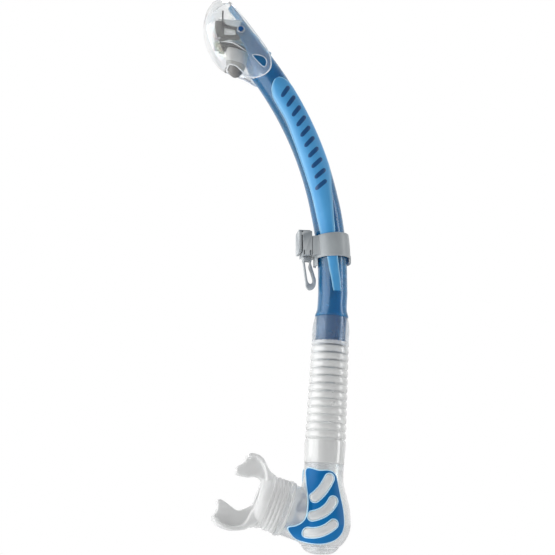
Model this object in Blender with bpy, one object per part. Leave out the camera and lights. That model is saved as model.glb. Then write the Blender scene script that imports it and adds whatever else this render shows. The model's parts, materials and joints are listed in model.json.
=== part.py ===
"""Dry-top snorkel, built as separate parts.

Frame: metres, +Z up.  The barrel bends in the XZ plane, which is the plane of
symmetry, and the mouthpiece and the head both lean towards -X.  The origin is
on the outer face of the keeper's strap plate, where the mask strap holds it.
"""
import math

import bmesh
import bpy
from mathutils import Matrix, Vector

MM = 0.001
GAP = 0.3 * MM

# Barrel: an oval tube, straight, then a circular arc, then straight again.
BARREL_HALF_WIDTH = 12.5 * MM
BARREL_HALF_DEPTH = 13.8 * MM
BARREL_WALL = 1.9 * MM
BARREL_X = 27.6 * MM
ARC_START_Z = -22.0 * MM
ARC_RADIUS = 280.0 * MM
ARC_ANGLE = math.radians(37.5)
ARC_STEPS = 11
HEAD_LENGTH = 52.0 * MM
BARREL_SEGMENTS = 28
SHOULDER_RADIUS = 12.8 * MM
LOWER_HALF_WIDTH = 11.3 * MM
TAPER_STEPS = 3
SPIGOT_RADIUS = 11.4 * MM
SPIGOT_BORE = 9.6 * MM

# Lower tube: leans a little from the knee down.
KNEE_Z = -40.0 * MM
TUBE_LEAN = math.radians(3.5)
SHOULDER_TOP = 14.8 * MM
SHOULDER_END = 18.7 * MM
SPIGOT_END = 39.0 * MM
CUFF_END = 42.0 * MM
RIB_PITCH = 5.9 * MM
RIB_COUNT = 12
RIB_DEPTH = 1.7 * MM
LOWER_CUFF_TOP = CUFF_END + RIB_COUNT * RIB_PITCH
LOWER_CUFF_END = 131.5 * MM
FLEX_SEGMENTS = 18

# Chamber: a pear on the tube's axis, with the port on its side.
CHAMBER_CENTRE = 174.0 * MM
CHAMBER_RADIUS = 22.0 * MM
CHAMBER_DROP = 23.0 * MM
CHAMBER_WALL = 1.8 * MM
CHAMBER_FLOOR = 191.0 * MM
NECK_RADIUS = 14.9 * MM
CHAMBER_SEGMENTS = 28
PORT_RISE = math.radians(19.5)
PORT_RADIUS = 19.2 * MM
PORT_SHOULDER = 26.7 * MM
PORT_SPIGOT_RADIUS = 17.3 * MM
PORT_SPIGOT_END = 34.0 * MM
PORT_BORE = 15.6 * MM
NECK_END = 43.0 * MM
OVERLAY_THICKNESS = 1.0 * MM

# Keeper: the band slides along the barrel's arc.
BAND_LOW = math.radians(1.9)
BAND_HIGH = math.radians(5.7)
BAND_WALL = 1.4 * MM
BLOCK_LOW = -11.2 * MM
BLOCK_RIGHT = 10.2 * MM
BLOCK_HALF_DEPTH = 9.0 * MM
PLATE_THICKNESS = 1.4 * MM
PEG_X = 6.6 * MM
PEG_RADIUS = 1.6 * MM

# Head: the float hangs from a hinge at the left of the valve's seat.
FLOAT_HINGE = (-64.0 * MM, 164.0 * MM)
FLOAT_DROOP = math.radians(15.5)
BRACKET_PIN = (-47.5 * MM, 170.2 * MM)
SHROUD_WALL = 1.4 * MM
DUCT_HALF_DEPTH = 8.8 * MM
DUCT_WALL = 1.2 * MM
CHEEK_INNER = 9.1 * MM
CHEEK_OUTER = 10.3 * MM


def turn_y(angle):
    """Rotation about +Y."""
    return Matrix.Rotation(angle, 4, "Y")


ROW_FRAME = Matrix.Identity(4)
ARC_CENTRE = Vector((BARREL_X - ARC_RADIUS, 0.0, ARC_START_Z))
KNEE = Vector((BARREL_X, 0.0, KNEE_Z))
TUBE_FRAME = Matrix.Translation(KNEE) @ turn_y(TUBE_LEAN)
CHAMBER_POINT = TUBE_FRAME @ Vector((0.0, 0.0, -CHAMBER_CENTRE))
PORT_FRAME = Matrix.Translation(CHAMBER_POINT) @ turn_y(PORT_RISE - math.radians(90.0))
HEAD_POINT = ARC_CENTRE + ARC_RADIUS * Vector((math.cos(ARC_ANGLE), 0.0, math.sin(ARC_ANGLE)))
HEAD_FRAME = Matrix.Translation(HEAD_POINT) @ turn_y(-ARC_ANGLE)
FLOAT_POINT = Vector((FLOAT_HINGE[0], 0.0, FLOAT_HINGE[1]))
FLOAT_FRAME = Matrix.Translation(FLOAT_POINT) @ turn_y(FLOAT_DROOP)
PEG_FRAME = Matrix.Translation(Vector((PEG_X, 0.0, BLOCK_LOW)))


# ---------------------------------------------------------------- tools

def clear_scene():
    for item in list(bpy.data.objects):
        bpy.data.objects.remove(item, do_unlink=True)


def material(name, colour, roughness, metallic=0.0, transmission=0.0):
    made = bpy.data.materials.get(name)
    if made is not None:
        return made
    made = bpy.data.materials.new(name)
    made.use_nodes = True
    shader = made.node_tree.nodes["Principled BSDF"]
    shader.inputs["Base Color"].default_value = (*colour, 1.0)
    shader.inputs["Roughness"].default_value = roughness
    shader.inputs["Metallic"].default_value = metallic
    shader.inputs["Transmission Weight"].default_value = transmission
    made.diffuse_color = (*colour, 1.0)
    return made


def blue_plastic():
    return material("translucent_blue", (0.01, 0.16, 0.42), 0.15, transmission=0.6)


def light_blue():
    return material("light_blue", (0.10, 0.36, 0.66), 0.3)


def overlay_blue():
    return material("overlay_blue", (0.0, 0.15, 0.42), 0.35)


def clear_plastic():
    return material("clear_plastic", (0.92, 0.94, 0.95), 0.08, transmission=0.9)


def clear_silicone():
    return material("clear_silicone", (0.85, 0.87, 0.88), 0.35, transmission=0.7)


def keeper_grey():
    return material("keeper_grey", (0.33, 0.37, 0.40), 0.4)


def dark_grey():
    return material("dark_grey", (0.07, 0.07, 0.075), 0.45)


def black_rubber():
    return material("black_rubber", (0.012, 0.012, 0.012), 0.7)


def add_object(name, bm, frame, finish=None):
    """Turn a bmesh in local coordinates into an object standing at frame."""
    bmesh.ops.recalc_face_normals(bm, faces=bm.faces)
    mesh = bpy.data.meshes.new(name)
    bm.to_mesh(mesh)
    bm.free()
    item = bpy.data.objects.new(name, mesh)
    bpy.context.scene.collection.objects.link(item)
    item.matrix_world = frame
    if finish is not None:
        mesh.materials.append(finish)
    return item


def combine(solid, tool, operation):
    """Apply one Boolean to solid and remove the tool."""
    bpy.context.view_layer.update()
    step = solid.modifiers.new("shape", "BOOLEAN")
    step.operation = operation
    step.solver = "EXACT"
    step.object = tool
    graph = bpy.context.evaluated_depsgraph_get()
    result = bpy.data.meshes.new_from_object(solid.evaluated_get(graph))
    solid.modifiers.clear()
    solid.data = result
    bpy.data.objects.remove(tool, do_unlink=True)
    return solid


def cut(solid, tool):
    return combine(solid, tool, "DIFFERENCE")


def join(solid, tool):
    return combine(solid, tool, "UNION")


def common(solid, tool):
    return combine(solid, tool, "INTERSECT")


def soften(item, angle=35.0):
    """Smooth shading, with the edges over angle kept sharp."""
    item.data.shade_smooth()
    item.data.set_sharp_from_angle(angle=math.radians(angle))
    return item


def skin(rings, loop=False, split=False):
    """Faces between equal rings of points; loop joins the last to the first, split makes triangles."""
    bm = bmesh.new()
    rows = [[bm.verts.new(point) for point in ring] for ring in rings]
    count = len(rows[0])
    pairs = list(zip(rows, rows[1:]))
    if loop:
        pairs.append((rows[-1], rows[0]))
    for low, high in pairs:
        for i in range(count):
            j = (i + 1) % count
            if split:
                bm.faces.new((low[i], low[j], high[j]))
                bm.faces.new((low[i], high[j], high[i]))
            else:
                bm.faces.new((low[i], low[j], high[j], high[i]))
    if not loop:
        bm.faces.new(rows[0])
        bm.faces.new(rows[-1])
    return bm


def oval(half_x, half_y, z, count, power=2.0, shift=0.0):
    """One ring of a superellipse at height z."""
    ring = []
    for i in range(count):
        angle = 2.0 * math.pi * i / count
        c = math.cos(angle)
        s = math.sin(angle)
        x = math.copysign(abs(c) ** (2.0 / power), c) * half_x + shift
        y = math.copysign(abs(s) ** (2.0 / power), s) * half_y
        ring.append(Vector((x, y, z)))
    return ring


def turned(profile, count, loop=False):
    """Solid of revolution about Z through (radius, z) points."""
    return skin([oval(r, r, z, count) for r, z in profile], loop)


def prism(outline, low_y, high_y):
    """An outline of (x, z) points pushed along Y."""
    ends = [[Vector((x, y, z)) for x, z in outline] for y in (low_y, high_y)]
    return skin(ends)


def upright(outline, low_z, high_z):
    """An outline of (x, y) points pushed along Z."""
    ends = [[Vector((x, y, z)) for x, y in outline] for z in (low_z, high_z)]
    return skin(ends)


def rod_y(radius, x, z, low_y, high_y, count=16):
    """A round rod along Y."""
    outline = [(x + radius * math.cos(a), z + radius * math.sin(a)) for a in circle(count)]
    return prism(outline, low_y, high_y)


def circle(count):
    return [2.0 * math.pi * i / count for i in range(count)]


def smooth_outline(points, steps):
    """A closed curve through points, with steps stretches between two of them."""
    out = []
    total = len(points)
    for i in range(total):
        p0, p1, p2, p3 = (Vector(points[(i + k - 1) % total]) for k in range(4))
        for k in range(steps):
            t = k / steps
            a = 2.0 * p1
            b = p2 - p0
            c = 2.0 * p0 - 5.0 * p1 + 4.0 * p2 - p3
            d = 3.0 * p1 - p0 - 3.0 * p2 + p3
            out.append(tuple(0.5 * (a + b * t + c * t * t + d * t * t * t)))
    return out


def scaled(points):
    """Millimetre pairs in metres."""
    return [(a * MM, b * MM) for a, b in points]


def bean(path, radius, count):
    """A round-ended slot outline of this radius about a three-point path."""
    start, middle, end = (Vector(p) for p in path)
    left = []
    right = []
    for k in range(count + 1):
        t = k / count
        spot = (1 - t) ** 2 * start + 2 * t * (1 - t) * (2 * middle - (start + end) / 2) + t * t * end
        way = (2 * (1 - t) * (2 * middle - (start + end) / 2 - start)
               + 2 * t * (end - 2 * middle + (start + end) / 2)).normalized()
        side = Vector((-way.y, way.x))
        left.append(spot + side * radius)
        right.append(spot - side * radius)
    cap_end = arc_between(end, left[-1], count, radius)
    cap_start = arc_between(start, right[0], count, radius)
    return [tuple(p) for p in left + cap_end + right[::-1] + cap_start]


def arc_between(centre, first, count, radius):
    """Points of a half circle from first round centre, clockwise, ends left out."""
    base = math.atan2(first.y - centre.y, first.x - centre.x)
    turns = [base - math.pi * k / count for k in range(1, count)]
    return [centre + Vector((radius * math.cos(a), radius * math.sin(a))) for a in turns]


# ---------------------------------------------------------------- barrel

def arc_frame(angle):
    """Frame on the barrel's axis at this angle of its arc, +Z along the axis."""
    spot = ARC_CENTRE + ARC_RADIUS * Vector((math.cos(angle), 0.0, math.sin(angle)))
    return Matrix.Translation(spot) @ turn_y(-angle)


def half_width(angle):
    """The barrel's half width at this angle of its arc; it narrows towards the arc's foot."""
    rise = min(max(angle / (ARC_ANGLE * TAPER_STEPS / ARC_STEPS), 0.0), 1.0)
    return LOWER_HALF_WIDTH + (BARREL_HALF_WIDTH - LOWER_HALF_WIDTH) * rise


def barrel_frames(outer):
    """Frames and half widths from the spigot's end to the tip of the spine."""
    inset = 0.0 if outer else BARREL_WALL
    narrow = LOWER_HALF_WIDTH - inset
    wide = BARREL_HALF_WIDTH - inset
    deep = BARREL_HALF_DEPTH - inset
    if outer:
        lower = [(SPIGOT_END, SPIGOT_RADIUS, SPIGOT_RADIUS),
                 (SHOULDER_END, SPIGOT_RADIUS, SPIGOT_RADIUS),
                 (SHOULDER_END, SHOULDER_RADIUS, SHOULDER_RADIUS + GAP),
                 (SHOULDER_TOP + 1.5 * MM, SHOULDER_RADIUS, SHOULDER_RADIUS + 2 * GAP)]
    else:
        lower = [(SPIGOT_END, SPIGOT_BORE, SPIGOT_BORE),
                 (SHOULDER_END + 4.0 * MM, SPIGOT_BORE, SPIGOT_BORE)]
    lower.append((SHOULDER_TOP - 2.0 * MM, narrow, deep))
    frames = [(TUBE_FRAME @ Matrix.Translation((0, 0, -drop)), a, b) for drop, a, b in lower]
    frames.append((Matrix.Translation(KNEE) @ turn_y(TUBE_LEAN / 2), narrow, deep))
    for step in range(ARC_STEPS + 1):
        angle = ARC_ANGLE * step / ARC_STEPS
        frames.append((arc_frame(angle), half_width(angle) - inset, deep))
    frames.append((HEAD_FRAME @ Matrix.Translation((0, 0, HEAD_LENGTH)), wide, deep))
    return frames


def barrel_ring(frame, half_x, half_y):
    return [frame @ point for point in oval(half_x, half_y, 0.0, BARREL_SEGMENTS)]


def mouth_cutter():
    """Everything left of the slanted mouth; the ears and the spine stay."""
    pin = HEAD_FRAME.inverted() @ Vector((BRACKET_PIN[0], 0.0, BRACKET_PIN[1]))
    ear = 3.4 * MM
    edge = scaled([(-30, -6), (-13, -6), (-8.8, 3.5), (-6.7, 9), (-4.4, 18)])
    arc = [(pin.x + ear * math.cos(a), pin.z + ear * math.sin(a))
           for a in (math.radians(200 - 25 * k) for k in range(6))]
    spine = scaled([(6, 33.5), (9.4, 39), (9.4, 70), (-30, 70)])
    return add_object("mouth_cutter", prism(edge + arc + spine, -20 * MM, 20 * MM), HEAD_FRAME)


LUG_OUTLINE = [(-5.6, 4.2), (-2.6, 3.0), (0.2, -0.2), (0.9, -3.2), (-0.6, -6.2), (-3.6, -7.6), (-4.8, -4.4)]


def lug_prism(name, grow, low_y, high_y):
    """The teardrop lug that the shroud's windows snap over."""
    centre = Vector((-2.2, -1.6))
    points = [centre + (Vector(p) - centre) * grow for p in LUG_OUTLINE]
    outline = smooth_outline(scaled([tuple(p) for p in points]), 2)
    return add_object(name, prism(outline, low_y, high_y), HEAD_FRAME)


def build_barrel():
    outer = [barrel_ring(*f) for f in barrel_frames(True)]
    inner = [barrel_ring(*f) for f in barrel_frames(False)]
    tube = add_object("barrel_tube", skin(outer + inner[::-1], loop=True), ROW_FRAME, blue_plastic())
    cut(tube, mouth_cutter())
    for side in (-1, 1):
        low, high = sorted((side * 12.6 * MM, side * 15.3 * MM))
        join(tube, lug_prism("lug", 0.9, low, high))
        cut(tube, add_object("pin_hole", rod_y(1.5 * MM, *BRACKET_PIN, *sorted((side * 8 * MM, side * 20 * MM))),
                             ROW_FRAME))
    for side, name in ((-1, "inlay_near"), (1, "inlay_far")):
        pocket = inlay_solid("pocket", side, 1.3, -0.8 * MM, 0.8 * MM)
        cut(tube, pocket)
        soften(inlay_solid(name, side, 0.0, -0.5 * MM, 0.0, light_blue()))
    tube.data.materials.clear()
    tube.data.materials.append(blue_plastic())
    return soften(tube)


# The inlay's edges: degrees along the arc, then degrees round from the side.
INLAY_EDGES = [(33.2, -8, 16), (32.7, -24, 32), (31.9, -40, 52), (30.8, -51, 68), (29.0, -52, 82), (26.0, -51, 84),
               (22.6, -58, 84), (18.5, -62, 80), (15.5, -60, 52), (12.7, -57, 28), (9.2, -55, 14), (6.4, -51, 8),
               (4.0, -42, 6), (1.9, -31, 8)]
INLAY_TAIL = [(-22.0, -25, 12), (-30.0, -17, 17), (-40.0, -9, 21)]


def inlay_ring_frames():
    """Frames along the inlay, with the barrel's half width there and the inlay's two edge angles."""
    rows = [(arc_frame(math.radians(a)), half_width(math.radians(a)), low, high) for a, low, high in INLAY_EDGES]
    for z, low, high in INLAY_TAIL:
        rows.append((Matrix.Translation((BARREL_X, 0, z * MM)), LOWER_HALF_WIDTH, low, high))
    return rows


def inlay_solid(name, side, grow, inner, outer, finish=None):
    """A patch of the barrel's wall between two depths, grown by some degrees."""
    across = 6
    rings = []
    rows = inlay_ring_frames()
    for k, (frame, half, low, high) in enumerate(rows):
        stretch = 0.0
        if k == 0:
            stretch = grow * 0.25 * MM
        if k == len(rows) - 1:
            stretch = -grow * 0.25 * MM
        ring = []
        for depth, order in ((outer, range(across + 1)), (inner, range(across, -1, -1))):
            for i in order:
                angle = math.radians(low - grow + (high - low + 2 * grow) * i / across)
                x = (half + depth) * math.sin(angle)
                y = side * (BARREL_HALF_DEPTH + depth) * math.cos(angle)
                ring.append(frame @ Vector((x, y, stretch)))
        rings.append(ring)
    return add_object(name, skin(rings, split=True), ROW_FRAME, finish)


# ---------------------------------------------------------------- keeper

def build_keeper():
    band = BARREL_HALF_WIDTH + 0.35 * MM
    deep = BARREL_HALF_DEPTH + 0.35 * MM
    frames = [arc_frame(BAND_LOW + (BAND_HIGH - BAND_LOW) * k / 2) for k in range(3)]
    outer = [barrel_ring(f, band + BAND_WALL, deep + BAND_WALL) for f in frames]
    inner = [barrel_ring(f, band, deep) for f in frames]
    collar = add_object("keeper_collar", skin(outer + inner[::-1], loop=True), ROW_FRAME, keeper_grey())
    # A flat pad on the band's left carries the clip block; a finger and a tab hang from the lower edge.
    pad_left = BLOCK_RIGHT + GAP
    pad = [(pad_left, -8.8 * MM), (13.6 * MM, -9.6 * MM), (17.5 * MM, -10.6 * MM), (17.5 * MM, 10.6 * MM),
           (13.6 * MM, 9.6 * MM), (pad_left, 8.8 * MM)]
    join(collar, add_object("pad", upright(pad, -11 * MM, 4 * MM), ROW_FRAME))
    finger = scaled([(12.4, -3.4), (15.2, -4.4), (15.2, 4.4), (12.4, 3.4)])
    join(collar, add_object("finger", upright(finger, -18.6 * MM, -9 * MM), ROW_FRAME))
    tab = scaled([(39.6, -5.0), (41.6, -4.4), (41.6, 4.4), (39.6, 5.0)])
    join(collar, add_object("tab", upright(tab, -16.0 * MM, -9 * MM), ROW_FRAME))
    bore = [barrel_ring(arc_frame(a), band, deep) for a in (0.0, BAND_LOW, BAND_HIGH, BAND_HIGH + 0.03)]
    cut(collar, add_object("bore", skin(bore), ROW_FRAME))
    soften(collar)
    build_clip_block()
    build_strap_plate()


def build_clip_block():
    """The block that the strap plate closes against, hollow at the bottom for the swivel peg."""
    outline = scaled([(2.9, 6.9), (3.9, 7.9), (9.2, 7.9), (10.2, 6.9), (10.2, -10.4), (9.4, -11.2),
                      (3.7, -11.2), (2.9, -10.4)])
    block = add_object("clip_block", prism(outline, -BLOCK_HALF_DEPTH, BLOCK_HALF_DEPTH), ROW_FRAME, keeper_grey())
    for x in (3.4 * MM, 8.4 * MM):
        slit = upright([(x, -10 * MM), (x + 1.1 * MM, -10 * MM), (x + 1.1 * MM, -5 * MM), (x, -5 * MM)],
                       -12.0 * MM, -7.6 * MM)
        cut(block, add_object("slit", slit, ROW_FRAME))
    hole = turned([(PEG_RADIUS + GAP, -2 * MM), (PEG_RADIUS + GAP, 5.0 * MM)], 20)
    cut(block, add_object("peg_hole", hole, PEG_FRAME))
    groove = turned([(PEG_RADIUS + 0.9 * MM + GAP, 2.6 * MM), (PEG_RADIUS + 0.9 * MM + GAP, 4.9 * MM)], 20)
    cut(block, add_object("groove", groove, PEG_FRAME))
    # Two bosses carry the plate's snaps across the strap slot.
    for side in (-1, 1):
        boss = upright([(1.7 * MM, side * 7.0 * MM), (3.4 * MM, side * 7.0 * MM), (3.4 * MM, side * 9.0 * MM),
                        (1.7 * MM, side * 9.0 * MM)], 4.6 * MM, 6.6 * MM)
        join(block, add_object("boss", boss, ROW_FRAME))
    soften(block)


def build_strap_plate():
    """The thin outer plate; its outer face is the strap's bearing face and holds the origin."""
    outline = rounded_square(9.0 * MM, BLOCK_HALF_DEPTH, 2.4 * MM)
    plate = add_object("strap_plate", upright(outline, 0.0, PLATE_THICKNESS), turn_y(math.radians(90.0)),
                       keeper_grey())
    lip = scaled([(0.6, 8.2), (0.6, 9.0), (9.2, 9.0), (9.2, 8.2)])
    join(plate, add_object("lip", prism(lip, -6.5 * MM, 6.5 * MM), ROW_FRAME))
    soften(plate)


def rounded_square(half_x, half_y, radius):
    """Outline of a rectangle about the origin with rounded corners."""
    outline = []
    for k, (sx, sy) in enumerate(((1, 1), (-1, 1), (-1, -1), (1, -1))):
        for step in range(4):
            angle = math.radians(90.0 * k + 30.0 * step)
            outline.append((sx * (half_x - radius) + radius * math.cos(angle),
                            sy * (half_y - radius) + radius * math.sin(angle)))
    return outline


# The hook's closed loop, seen from the front in the peg's own frame.
LOOP_OUTSIDE = [(-3.0, -0.6), (-2.5, -4.0), (-2.1, -7.0), (-1.3, -13.4), (-0.5, -19.7), (0.2, -24.0), (2.8, -26.2),
                (6.5, -24.3), (7.5, -19.1), (6.4, -14.5), (5.2, -10.3), (3.8, -5.4), (4.2, -2.6), (3.6, -0.6)]
LOOP_INSIDE = [(-1.0, -3.9), (2.6, -4.0), (2.0, -7.9), (3.8, -13.2), (5.1, -19.4), (3.2, -21.6), (1.1, -19.7),
               (-0.1, -12.3), (-0.8, -6.9)]


def build_hook():
    """Swivel peg and the strap hook that hangs from it."""
    peg = turned([(PEG_RADIUS, -2.9 * MM), (PEG_RADIUS, 2.9 * MM), (PEG_RADIUS + 0.8 * MM, 3.0 * MM),
                  (PEG_RADIUS + 0.4 * MM, 4.6 * MM)], 20)
    soften(add_object("swivel_peg", peg, PEG_FRAME, keeper_grey()))
    loop = prism(scaled(LOOP_OUTSIDE), -1.7 * MM, 1.7 * MM)
    hook = add_object("strap_hook", loop, PEG_FRAME, keeper_grey())
    head = scaled([(-2.9, -2.4), (3.7, -2.4), (3.7, 2.4), (-2.9, 2.4)])
    join(hook, add_object("hook_head", upright(head, -3.7 * MM, -0.4 * MM), PEG_FRAME))
    cut(hook, add_object("loop_hole", prism(scaled(LOOP_INSIDE), -5 * MM, 5 * MM), PEG_FRAME))
    hole = turned([(PEG_RADIUS + GAP, -3.2 * MM), (PEG_RADIUS + GAP, 2.0 * MM)], 20)
    cut(hook, add_object("hook_hole", hole, PEG_FRAME))
    soften(hook)


# ---------------------------------------------------------------- head

# The shroud's sections: along the head, right edge, left edge, half depth, squareness.
SHROUD_SECTIONS = [(-15, 14.2, -14.2, 15.5, 2.0), (-8, 14.2, -15.6, 15.5, 2.0), (-2, 14.2, -18.8, 15.5, 2.0),
                   (4, 14.2, -22.8, 15.6, 2.1), (10, 14.2, -26.6, 16.0, 2.2), (17, 14.1, -28.8, 16.5, 2.3),
                   (25, 14.0, -28.9, 16.6, 2.4), (33, 13.8, -27.3, 16.4, 2.4), (40, 13.6, -25.2, 15.9, 2.4),
                   (47, 13.2, -21.8, 14.9, 2.4), (53, 12.2, -17.2, 13.0, 2.3), (58, 10.2, -11.8, 10.2, 2.2),
                   (61.5, 7.2, -6.4, 6.9, 2.1), (63.6, 3.6, -1.6, 3.0, 2.0)]


def shroud_solid(name, inset, extend, finish=None):
    """The egg; inset shrinks it, extend lengthens its open end."""
    rings = []
    for k, (along, right, left, deep, power) in enumerate(SHROUD_SECTIONS):
        half = (right - left) / 2 * MM - inset
        middle = (right + left) / 2 * MM
        height = along * MM
        if k == 0:
            height -= extend
        if along > 50:
            height -= inset * (along - 50) / 13.6
        rings.append(oval(max(half, 0.6 * MM), max(deep * MM - inset, 0.6 * MM), height, 28, power, middle))
    return add_object(name, skin(rings), HEAD_FRAME, finish)


def rim_cutter():
    """Below the rim: the open bottom, the two lobes' outline and the slot for the spine."""
    rim = scaled([(-34, 11.5), (-24, 11), (-20.5, 7), (-18, 0), (-15.8, -5), (-12.6, -9.5), (-8.5, -12.2),
                  (-4.5, -12.8), (-0.5, -11.5), (3, -8), (6, -3), (8.2, 3), (9, 10), (9, 52.4), (20, 52.4),
                  (20, -30), (-34, -30)])
    return add_object("rim_cutter", prism(rim, -25 * MM, 25 * MM), HEAD_FRAME)


def build_shroud():
    shell = shroud_solid("head_shroud", 0.0, 0.0, clear_plastic())
    cut(shell, shroud_solid("hollow", SHROUD_WALL, 3 * MM))
    socket = turned_oval(BARREL_HALF_WIDTH + GAP, BARREL_HALF_DEPTH + GAP, -20 * MM, 54 * MM)
    cut(shell, add_object("socket", socket, HEAD_FRAME))
    cut(shell, rim_cutter())
    for side in (-1, 1):
        span = sorted((side * 8 * MM, side * 25 * MM))
        cut(shell, lug_prism("window", 1.05, *span))
        cut(shell, add_object("pin_hole", rod_y(1.5 * MM, *BRACKET_PIN, *span), ROW_FRAME))
    return soften(shell)


def duct_block(name, inset, finish=None):
    """The valve duct's solid outline; inset makes its inside."""
    lean = scaled([(10.2, -10), (10.2, 30)])
    right_low = HEAD_FRAME @ Vector((lean[0][0] - inset, 0, lean[0][1] - inset))
    top = 181.0 * MM - inset
    right_high = HEAD_FRAME @ Vector((lean[1][0] - inset, 0, lean[1][1]))
    rise = (right_high - right_low) / (right_high.z - right_low.z)
    corner = right_low + rise * (top - right_low.z)
    left_low = HEAD_FRAME @ Vector((-10.2 * MM + inset, 0, -10 * MM - inset))
    left_wall = HEAD_FRAME @ Vector((-10.2 * MM + inset, 0, -7 * MM))
    outline = [(right_low.x, right_low.z), (corner.x, corner.z), (-65.2 * MM + inset, top),
               (-65.2 * MM + inset, 165.9 * MM + inset), (-39.6 * MM + inset * 0.6, 165.9 * MM + inset),
               (-35.3 * MM + inset, 158.5 * MM), (-35.3 * MM + inset, 146.0 * MM), (left_wall.x, left_wall.z),
               (left_low.x, left_low.z)]
    half = DUCT_HALF_DEPTH - inset
    block = add_object(name, prism(outline, -half, half), ROW_FRAME, finish)
    bore = turned_oval(10.2 * MM - inset, 11.5 * MM - inset, -20 * MM, 60 * MM)
    allowed = add_object("allowed", bore, HEAD_FRAME)
    side = prism(scaled([(-60, 2), (0, 2), (0, 60), (-60, 60)]), -30 * MM, 30 * MM)
    join(allowed, add_object("side", side, HEAD_FRAME))
    return common(block, allowed)


def turned_oval(half_x, half_y, low, high):
    return skin([oval(half_x, half_y, z, 32) for z in (low, high)])


def build_duct():
    """The fixed valve duct: a bent channel from the seat over to the barrel's bore."""
    duct = duct_block("valve_duct", 0.0, clear_silicone())
    centre = -50.6 * MM
    lip = [(centre + 9.4 * MM * math.cos(a), 7.6 * MM * math.sin(a)) for a in circle(24)]
    join(duct, add_object("lip", upright(lip, 165.55 * MM, 166.4 * MM), ROW_FRAME))
    cut(duct, duct_block("inside", DUCT_WALL))
    mouth = [(centre + 8.2 * MM * math.cos(a), 6.4 * MM * math.sin(a)) for a in circle(24)]
    cut(duct, add_object("seat_mouth", upright(mouth, 160 * MM, 168 * MM), ROW_FRAME))
    return soften(duct)


def build_bracket():
    """Two cheeks and a web, pinned to the barrel's ears, that carry the float's hinge."""
    pin = Vector(BRACKET_PIN)
    cheek = scaled([(-67.4, 161.6), (-60.6, 161.6), (-58.6, 163.4), (-48.6, 163.4), (-44.2, 168.4),
                    (-44.2, 171.8), (-46.0, 173.4), (-58.8, 175.8), (-60.4, 178.8), (-67.4, 178.8)])
    bracket = add_object("valve_bracket", prism(cheek, -CHEEK_OUTER, CHEEK_OUTER), ROW_FRAME, dark_grey())
    window = scaled([(-60.2, 167.0), (-60.2, 173.2), (-51.6, 171.9), (-50.8, 167.4)])
    cut(bracket, add_object("window", prism(window, -20 * MM, 20 * MM), ROW_FRAME))
    inside = scaled([(-66.2, 150), (-66.2, 190), (-30, 190), (-30, 150)])
    cut(bracket, add_object("inside", prism(inside, -CHEEK_INNER, CHEEK_INNER), ROW_FRAME))
    post = scaled([(-62.2, 177.6), (-61.0, 177.6), (-61.0, 187.0), (-62.2, 187.0)])
    join(bracket, add_object("post", prism(post, -CHEEK_OUTER, -CHEEK_INNER), ROW_FRAME))
    cut(bracket, add_object("pin_hole", rod_y(1.5 * MM, pin.x, pin.y, -20 * MM, 20 * MM), ROW_FRAME))
    cut(bracket, add_object("hinge_hole", rod_y(1.1 * MM, *FLOAT_HINGE, -20 * MM, 20 * MM), ROW_FRAME))
    soften(bracket)
    hinge = add_object("float_pin", rod_y(0.8 * MM, 0.0, 0.0, -CHEEK_OUTER - 0.5 * MM, CHEEK_OUTER + 0.5 * MM, 12),
                       Matrix.Translation(FLOAT_POINT), material("steel", (0.6, 0.6, 0.6), 0.3, 1.0))
    soften(hinge)
    for side, name in ((-1, "bracket_pin_near"), (1, "bracket_pin_far")):
        shaft = rod_y(1.2 * MM, 0.0, 0.0, *sorted((side * 9.3 * MM, side * 16.9 * MM)))
        made = add_object(name, shaft, Matrix.Translation(Vector((pin.x, 0.0, pin.y))), blue_plastic())
        head = rod_y(1.9 * MM, 0.0, 0.0, *sorted((side * 16.7 * MM, side * 17.7 * MM)), 20)
        join(made, add_object("head", head, Matrix.Translation(Vector((pin.x, 0.0, pin.y)))))
        soften(made)


# The float's sections in its own frame: height, left and right edge, half depth.
FLOAT_SECTIONS = [(-2.2, 7.6, 25.2, 6.6), (-6.0, 8.0, 26.2, 7.1), (-11.0, 9.4, 27.1, 7.2), (-13.0, 10.2, 27.2, 7.2),
                  (-15.0, 11.0, 27.1, 7.1), (-18.4, 13.0, 26.2, 6.4), (-21.5, 15.3, 24.6, 4.6),
                  (-23.4, 18.5, 22.4, 2.0)]
FLOAT_SPLIT = 3


def float_rings(rows, inset):
    rings = []
    for z, left, right, deep in rows:
        half = (right - left) / 2 * MM - inset
        rings.append(oval(half, deep * MM - inset, z * MM, 24, 2.5, (left + right) / 2 * MM))
    return rings


def build_float():
    """Hollow body open below, closed by a cap, under the carrier of the seal."""
    upper = FLOAT_SECTIONS[:FLOAT_SPLIT + 1]
    lower = FLOAT_SECTIONS[FLOAT_SPLIT:]
    body = add_object("float_body", skin(float_rings(upper, 0.0)), FLOAT_FRAME, dark_grey())
    hollow = list(upper)
    hollow[0] = (-3.6, *hollow[0][1:])
    hollow[-1] = (-14.0, *hollow[-1][1:])
    cut(body, add_object("hollow", skin(float_rings(hollow, 1.3 * MM)), FLOAT_FRAME))
    soften(body)
    cap = add_object("float_cap", skin(float_rings(lower, 0.0)), FLOAT_FRAME, dark_grey())
    trim = upright(scaled([(0, -12), (35, -12), (35, 12), (0, 12)]), -13.3 * MM, -5 * MM)
    cut(cap, add_object("trim", trim, FLOAT_FRAME))
    basin = [(z - 0.2, left, right, deep) for z, left, right, deep in lower[:4]]
    basin[0] = (-10.0, *basin[0][1:])
    cut(cap, add_object("basin", skin(float_rings(basin, 1.6 * MM)), FLOAT_FRAME))
    soften(cap)
    build_carrier()


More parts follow.
